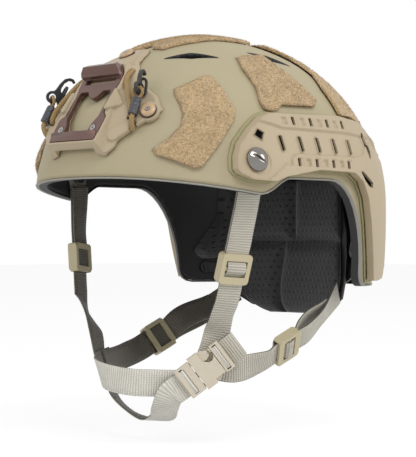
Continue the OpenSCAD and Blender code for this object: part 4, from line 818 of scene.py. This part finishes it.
cord_braid, cord_tree, cord_shader = new_material("cord_braid", (0.40, 0.265, 0.11), 0.8)
cord_uv = uv_of(cord_tree)
cord_flip = add_node(cord_tree, "ShaderNodeVectorMath", {0: cord_uv, 1: (1, -1, 1)},
    operation="MULTIPLY")
cord_one, cord_two = [add_node(cord_tree, "ShaderNodeTexWave", {"Vector": way, "Scale": 260.0,
    "Distortion": 0.0}, wave_type="BANDS", bands_direction="DIAGONAL").outputs["Fac"]
    for way in (cord_uv, cord_flip.outputs[0])]
cord_cross = calc(cord_tree, "MAXIMUM", cord_one, cord_two)
cord_tree.links.new(mix_sockets(cord_tree, cord_cross, (0.15, 0.09, 0.035, 1),
    (0.44, 0.295, 0.13, 1)), cord_shader.inputs["Base Color"])
emboss(cord_tree, cord_shader, cord_cross, 0.7, 0.0003)


def out_of(p):
    """Outward normal of the shell at a point."""
    spot = np.array([p])
    rise = [(gauge(spot + step, 0)[0] - gauge(spot, 0)[0]) for step in np.eye(3) * 1e-6]
    return Vector(rise).normalized()


def on_surface(p, lean=0.0, tip=0.0):
    """Frame with X level along the surface, Y up it and Z out of it."""
    n = out_of(p)
    x = Vector((-n.y, n.x, 0)).normalized()
    y = n.cross(x)
    turn = Matrix(((x.x, y.x, n.x), (x.y, y.y, n.y), (x.z, y.z, n.z))).to_4x4()
    return (Matrix.Translation(p) @ turn @ Matrix.Rotation(math.radians(lean), 4, "Z")
        @ Matrix.Rotation(math.radians(-tip), 4, "X"))


BASE_T, SLEEVE_FROM, SLEEVE_LEN = 0.004, 0.0075, 0.012
SLEEVE_TOP = SLEEVE_FROM + SLEEVE_LEN + 0.0016
RUN_LIFT = BASE_T + CORD_D / 2 + 0.0006
run_path = curve_through([front_point(0.0448, 0.0425, BASE_T - 0.0004),
    front_point(0.0445, 0.045, RUN_LIFT - 0.001), front_point(0.0418, 0.052, RUN_LIFT),
    front_point(0.0345, 0.062, RUN_LIFT), front_point(0.0265, 0.072, RUN_LIFT),
    front_point(0.022, 0.079, BASE_T - 0.0004)], 8)
at_cord = on_surface(front_point(0.051, 0.0365, BASE_T + 0.0051), -4, 4)
eye_side = [mm(-0.3, -1.5, 0), mm(2.2, 1.7, 0.3), mm(3.5, 3.6, 1.2), mm(3.4, 5.6, 2.6), mm(1.8, 7.1, 3),
    mm(-0.6, 7.2, 3)]
runs_bm = bmesh.new()
for flip in (1, -1):
    round_cord(runs_bm, [Vector((flip * p.x, p.y, p.z)) for p in run_path], Vector((1, 0, 0)))
close_ends(runs_bm)
make_piece("wing_cords", runs_bm, ["cord_runs"], cord_braid, sharp=60)

sleeve_rubber, sleeve_tree, sleeve_shader = new_material("sleeve_rubber", (0.045, 0.048, 0.058), 0.38)
sleeve_folds = noise(sleeve_tree, place_of(sleeve_tree), 260.0, 2.0, Distortion=1.2)
emboss(sleeve_tree, sleeve_shader, sleeve_folds, 0.9, 0.0012)
for side, flip in (("left", 1), ("right", -1)):
    loop_bm = bmesh.new()
    trunk = curve_through([mm(0, -1, -6.5), mm(0, 1, -3.5), mm(0, 4, -0.8), Vector((0, SLEEVE_FROM, 0)),
        Vector((0, SLEEVE_TOP + 0.0006, 0))], 8)
    round_cord(loop_bm, [at_cord @ p for p in trunk], at_cord.to_3x3() @ Vector((1, 0, 0)))
    for hand in (1, -1):
        half = curve_through([Vector((hand * p.x, SLEEVE_TOP + p.y, p.z)) for p in eye_side], 8)
        round_cord(loop_bm, [at_cord @ p for p in half], at_cord.to_3x3() @ Vector((0, 0, 1)), 0.0024, 10)
    bmesh.ops.scale(loop_bm, verts=loop_bm.verts, vec=(flip, 1, 1))
    close_ends(loop_bm)
    make_piece(f"hook_cord_{side}", loop_bm, [f"cord_loop_{side}"], cord_braid, sharp=60)
    hard_copy(f"hook_sleeve_{side}", f"cord_sleeve_{side}", sleeve_rubber, 0.0006)
    hard_copy(f"hook_{side}", f"cord_hook_{side}", black_nylon, 0.0005, segments=3)

# Webbing: 20 mm nylon straps woven in two layers, with a light ribbed face outside and a dark
# olive face inside. They hang in their photographed bends from bolts, buckle and cradle.
WEB_W, WEB_T = 20.0, 1.5
RIB_PITCH, YARN_PITCH = 0.0019, 0.0013
web_group, web_in, web_out = new_group("webbing_weave", [
    ("UV", "NodeSocketVector", None), ("Light", "NodeSocketColor", (0.5, 0.5, 0.4, 1)),
    ("Dark", "NodeSocketColor", (0.3, 0.3, 0.2, 1))],
    [("Colour", "NodeSocketColor"), ("Height", "NodeSocketFloat")])
web_parts = add_node(web_group, "ShaderNodeSeparateXYZ", {0: web_in.outputs["UV"]})
web_waver = noise(web_group, web_in.outputs["UV"], 260.0, 2.0)
web_along = calc(web_group, "MULTIPLY_ADD", web_waver, 0.0007, web_parts.outputs["X"])
web_step = calc(web_group, "MULTIPLY", web_along, 2 * math.pi / RIB_PITCH)
web_rib = calc(web_group, "SINE", web_step)
web_cross = calc(web_group, "MULTIPLY", web_parts.outputs["Y"], 2 * math.pi / YARN_PITCH)
web_yarn = calc(web_group, "SINE", web_cross)
web_pair = calc(web_group, "MULTIPLY_ADD", web_yarn, 0.45, web_rib)
web_level = remap(web_group, web_pair, -1.45, 1.45)
web_soil = noise(web_group, web_in.outputs["UV"], 55.0, 3.0)
web_fade = calc(web_group, "MULTIPLY_ADD", web_soil, 0.3, 0.85)
web_mixed = mix_sockets(web_group, web_level, web_in.outputs["Dark"], web_in.outputs["Light"])
web_toned = scaled(web_group, web_mixed, web_fade)
web_group.links.new(web_toned, web_out.inputs["Colour"])
web_group.links.new(web_level, web_out.inputs["Height"])


def webbing_material(name, light, dark):
    material, tree, shader = new_material(name, light, 0.6)
    shader.inputs["Sheen Weight"].default_value = 0.2
    weave = add_node(tree, "ShaderNodeGroup", {"UV": uv_of(tree), "Light": (*light, 1),
        "Dark": (*dark, 1)}, node_tree=web_group)
    emboss(tree, shader, weave.outputs["Height"], 0.8, 0.00035)
    tree.links.new(weave.outputs["Colour"], shader.inputs["Base Color"])
    return material


web_face = webbing_material("web_face", (0.68, 0.64, 0.545), (0.31, 0.29, 0.235))
# Paler webbing for the chin bands and the buckle's bar wraps; part of its lightness is painted light, the
# bounce from the white floor under the chin
web_pale_bounce_lit = webbing_material("web_pale_bounce_lit", (0.86, 0.83, 0.75), (0.5, 0.475, 0.41))
web_back = webbing_material("web_back", (0.165, 0.15, 0.115), (0.06, 0.053, 0.04))


def strap_stations(route):
    """Points, sides and outward directions of a strap along a route of (point, normal) in mm."""
    last = len(route) - 1
    rows = []
    for i, (p, n) in enumerate(route):
        t = (route[min(i + 1, last)][0] - route[max(i - 1, 0)][0]).normalized()
        side = t.cross(n).normalized()
        rows.append((p, side, side.cross(t)))
    return rows


def add_strap(bm, route, width=WEB_W, thick=WEB_T):
    h, e = width / 2, 0.45
    half = [(h, 0), (h - 0.12, thick * 0.3), (h - e, thick / 2), (h * 0.5, thick / 2)]
    ring = half + [(0, thick / 2)] + [(-a, b) for a, b in reversed(half)]
    ring += [(a, -b) for a, b in reversed(ring[1:-1])]
    rows, marks, run, before = [], [], 0.0, None
    for p, side, out in strap_stations(route):
        run += (p - before).length if before else 0
        before = p
        rows.append([(p + side * a + out * b) / 1000 for a, b in ring])
        marks.append([Vector((run / 1000, a / 1000, b)) for a, b in ring])
    sweep_ring(bm, rows, marks)


def make_strap(name, routes, node, width=WEB_W, thick=WEB_T, face=web_face):
    bm = bmesh.new()
    for route in routes:
        add_strap(bm, route, width, thick)
    close_ends(bm)
    tag = bm.verts.layers.float_vector["tag"]
    for f in bm.faces:
        if sum(v[tag].z for v in f.verts) / len(f.verts) < 0.2 * thick:
            f.material_index = 1
    return make_piece(name, bm, [node], [face, web_back], sharp=60)


def pair(p, n):
    return Vector(p), Vector(n)


STEPS = 8
FRONT_LOCK, REAR_LOCK = 5 * STEPS, 4 * STEPS


def smooth_route(route, steps=STEPS):
    places = curve_through([p for p, n in route], steps)
    facings = curve_through([n for p, n in route], steps)
    return list(zip(places, facings))


def flipped(route):
    return [(Vector((-p.x, p.y, p.z)), Vector((-n.x, n.y, n.z))) for p, n in route]


def inward(route, gap):
    return [(p - n.normalized() * gap, n) for p, n in route]


STRAP_GAP = 0.00235


def hung(y, z):
    """A point of a strap that lies against the shell's inner wall, and its outward direction."""
    p = side_point(y / 1000, z / 1000, 0)
    return side_point(y / 1000, z / 1000, -WALL - STRAP_GAP - WEB_T / 2000) * 1000, out_of(p)


ADJUSTER_LEN, ADJUSTER_TRAVEL, TAIL_GAP = 23, 9, 1.85
STRETCH = ADJUSTER_LEN / 2 + ADJUSTER_TRAVEL + 5


def past(p, run, out):
    run = Vector(run).normalized()
    return [(Vector(p) + k * STRETCH * run, Vector(out)) for k in (-1, -0.5, 0, 0.5, 1)]


front_top = [hung(-55, 19), hung(-52, 10), hung(-46, -3)]
front_near = past((78, -43.3, -66.6), (-6.5, 0, -22), (0.97, -0.24, -0.2))
front_far = past((-92.5, -49, -60), (3, -1, -22), (-0.92, -0.38, -0.1))
rear_near = past((67.9, 24, -127.4), (-0.09, -0.91, -0.405), (0.87, 0.13, -0.48))
rear_far = past((-66, 13, -125), (0.06, -0.93, -0.36), (-0.87, 0.1, -0.42))
BUCKLE = Vector((57.8, -53.1, -140.4))
buckle_turn, buckle_rise = math.radians(50), math.radians(37)
buckle_x = Vector((math.cos(buckle_rise) * math.cos(buckle_turn),
    math.cos(buckle_rise) * math.sin(buckle_turn), math.sin(buckle_rise)))
buckle_z = Vector((math.sin(buckle_turn), -math.cos(buckle_turn), 0))
buckle_y = buckle_z.cross(buckle_x)


def at_buckle(x, z):
    return BUCKLE + x * buckle_x + z * buckle_z


JUNCTION = -8.2
front_route = smooth_route(front_top + front_near + [pair((65.5, -43.2, -101), (0.97, -0.24, -0.2)),
    pair((58.3, -40.9, -113), (0.88, -0.47, 0)), pair((55.8, -42.5, -125), (0.82, -0.57, 0)),
    (at_buckle(2, JUNCTION), buckle_z)])
front_route_far = smooth_route(flipped(front_top) + front_far + [
    pair((-84.8, -52, -96), (-0.92, -0.38, -0.1)), pair((-58, -62, -113), (-0.93, -0.3, -0.2)),
    pair((-46.2, -66.6, -137), (-0.82, -0.5, -0.28))])
strap_start = [pair((57.5, 95.6, -88), (0.93, 0.33, -0.05)), pair((67, 66, -106), (0.85, 0.2, -0.5))]
rear_route = smooth_route(strap_start + rear_near + [pair((61.5, -26.5, -142), (0.93, -0.35, 0)),
    (at_buckle(4, JUNCTION - TAIL_GAP), buckle_z)])
rear_route_far = smooth_route(flipped(strap_start) + rear_far + [
    pair((-55.5, -38, -139), (-0.93, -0.3, -0.15)), pair((-41.8, -64.2, -140.5), (-0.84, -0.46, -0.24))])


def rear_tail(route):
    """The loose tail behind a rear strap bulges away from it between the cradle and the adjuster."""
    tail = []
    for i in range(6, 38):
        p, n = route[i]
        bulge = math.sin(math.pi * (i * 3 / STEPS - 2) / 7) if i < 3 * STEPS else 0
        tail.append((p - (TAIL_GAP + 0.3 + 5 * bulge) * n.normalized() + Vector((0, 0, 3 * bulge)), n))
    return tail


def over_bar(route, middle):
    """The piece of a strap that comes out of an adjuster's window and wraps its bar."""
    p, n = route[middle]
    run = (route[middle + 1][0] - route[middle - 1][0]).normalized()
    n = (n - n.dot(run) * run).normalized()
    return [(p + a * run + b * n, (n + c * run).normalized()) for a, b, c in ((-5.6, 0.6, -0.8),
        (-4.4, 2.2, -0.7), (-3, 3.2, -0.3), (0, 3.7, 0), (2, 3.4, 0.5), (3, 2.2, 0.9), (3.4, 0.8, 1.2))]


for side, slot, front, rear in (("left", "web_light", front_route, rear_route),
        ("right", "web_olive", front_route_far, rear_route_far)):
    make_strap(f"strap_front_{side}", [front], f"front_strap_{side}")
    make_strap(f"strap_front_tail_{side}", [inward(front[2 * STEPS:FRONT_LOCK + 6], TAIL_GAP)],
        f"front_strap_tail_{side}")
    make_strap(f"strap_rear_{side}", [rear], f"rear_strap_{side}")
for place, route, middle in (("front", front_route, FRONT_LOCK), ("rear", rear_route, REAR_LOCK)):
    make_strap(f"strap_{place}_wrap", [smooth_route(over_bar(route, middle), 4)],
        f"{place}_adjuster_left", width=16)
make_strap("strap_rear_tails", [rear_tail(rear_route), rear_tail(rear_route_far)], "rear_strap_tails")
make_strap("chin_band_upper", [smooth_route([pair((-53, -49, -139.5), (-0.88, -0.42, -0.2)),
    pair((-43.5, -65, -141), (-0.84, -0.48, -0.26)), pair((-33, -77.5, -142.5), (-0.66, -0.66, -0.34)),
    pair((-20, -89, -145), (-0.4, -0.87, -0.28)), pair((-2, -95, -148), (0, -1, -0.05)),
    pair((17, -89.5, -150.5), (0.45, -0.88, 0)), pair((29.4, -76.9, -151.2), (0.68, -0.74, 0)),
    (at_buckle(-24, -6.8) + 4 * buckle_y, buckle_z)])], "chin_strap_upper", face=web_pale_bounce_lit)
make_strap("chin_band_lower", [smooth_route([pair((-38.8, -61.8, -152.7), (-0.84, -0.48, -0.26)),
    pair((-34, -61.5, -166), (-0.6, -0.5, -0.6)), pair((-20.5, -58.4, -176.5), (-0.4, -0.4, -0.82)),
    pair((-1, -55.5, -182), (0, -0.1, -1)), pair((15.3, -57, -179), (0.3, -0.3, -0.9)),
    pair((32, -69.5, -170.5), (0.6, -0.6, -0.6)), (at_buckle(-32, -1), buckle_z),
    (at_buckle(-22, -1.8), buckle_z), (at_buckle(-14, -2.3), buckle_z)])], "chin_strap_lower",
    face=web_pale_bounce_lit)
SOCKET_END = 19
loop_route = [(at_buckle(SOCKET_END + x, z), n) for x, z, n in ((-5.6, -2.6, buckle_z),
    (-2, -2.4, buckle_z), (3, -1.4, buckle_z), (8, -1, buckle_z), (11, -1.6, buckle_x), (12, -3.2, buckle_x),
    (10, -4.8, -buckle_z), (4, -5.6, -buckle_z), (-4, -5.9, -buckle_z))]
make_strap("strap_buckle_loop", [smooth_route(loop_route, 5)], "buckle_loop", thick=1.2)
for name, node, near in (("socket_bar_wrap", "buckle_socket", 12.6),
        ("plug_bar_wrap", "buckle_plug", -17.4)):
    make_strap(name, [smooth_route([(at_buckle(near + x, z), buckle_z) for x, z in ((0, 0.6), (0.8, 2.2),
        (2.2, 2.7), (3.6, 2.2), (4.4, 0.6))], 4)], node, width=19.4, face=web_pale_bounce_lit)

# Adjusters and buckle: tan acetal mouldings. The four ladder locks and the two halves of the
# side-release buckle are threaded on the webbing.
buckle_acetal = grained("buckle_acetal", (0.68, 0.61, 0.48), 0.38, grain=1500, mottle=0.025, bump=0.00005)
adjuster_acetal = grained("adjuster_acetal", (0.56, 0.49, 0.315), 0.42, grain=1500, mottle=0.03,
    bump=0.00005)
for place in ("front", "rear"):
    for side in ("left", "right"):
        lock = cad_copy(f"{place}_adjuster_{side}")
        bmesh.ops.dissolve_limit(lock, angle_limit=math.radians(1), verts=lock.verts, edges=lock.edges)
        middle = sum((v.co for v in lock.verts), Vector()) / len(lock.verts)
        corners = sorted(lock.verts, key=lambda v: -(v.co - middle).length)[:8]
        posts = [e for e in lock.edges if e.calc_length() < 0.008 and all(v in corners for v in e.verts)]
        bmesh.ops.bevel(lock, geom=posts, offset=0.003, segments=4, affect="EDGES", profile=0.5)
        make_piece(f"ladder_lock_{place}_{side}", lock, [f"{place}_adjuster_{side}"], adjuster_acetal,
            sharp=30, bevel=0.0007, segments=3)
hard_copy("buckle_female", "buckle_socket", buckle_acetal, 0.0008, segments=3)
# This half keeps its triangles: with its flats joined up, one of its faces came out dark
make_piece("buckle_male_half", cad_copy("buckle_plug"), ["buckle_plug"], buckle_acetal,
    sharp=30, bevel=0.0005, segments=3)
hard_copy("buckle_arms", "buckle_prongs", buckle_acetal, 0.0006, segments=3)

# Nape cradle: a bent plate of black nylon behind the neck, with two bands that the fit dial
# at the back draws in
hard_copy("cradle_plate", "nape_plate", black_nylon, 0.0005)
hard_copy("dial_case", "dial_housing", black_nylon, 0.0012, segments=3)
hard_copy("dial_wheel", "dial_knob", black_nylon, 0.0005, segments=3)
for side in ("left", "right"):
    band_bm = cad_copy(f"adjust_band_{side}")
    make_piece(f"fit_band_{side}", band_bm, [f"adjust_band_{side}"], black_nylon, sharp=40)

low, high = cad_box
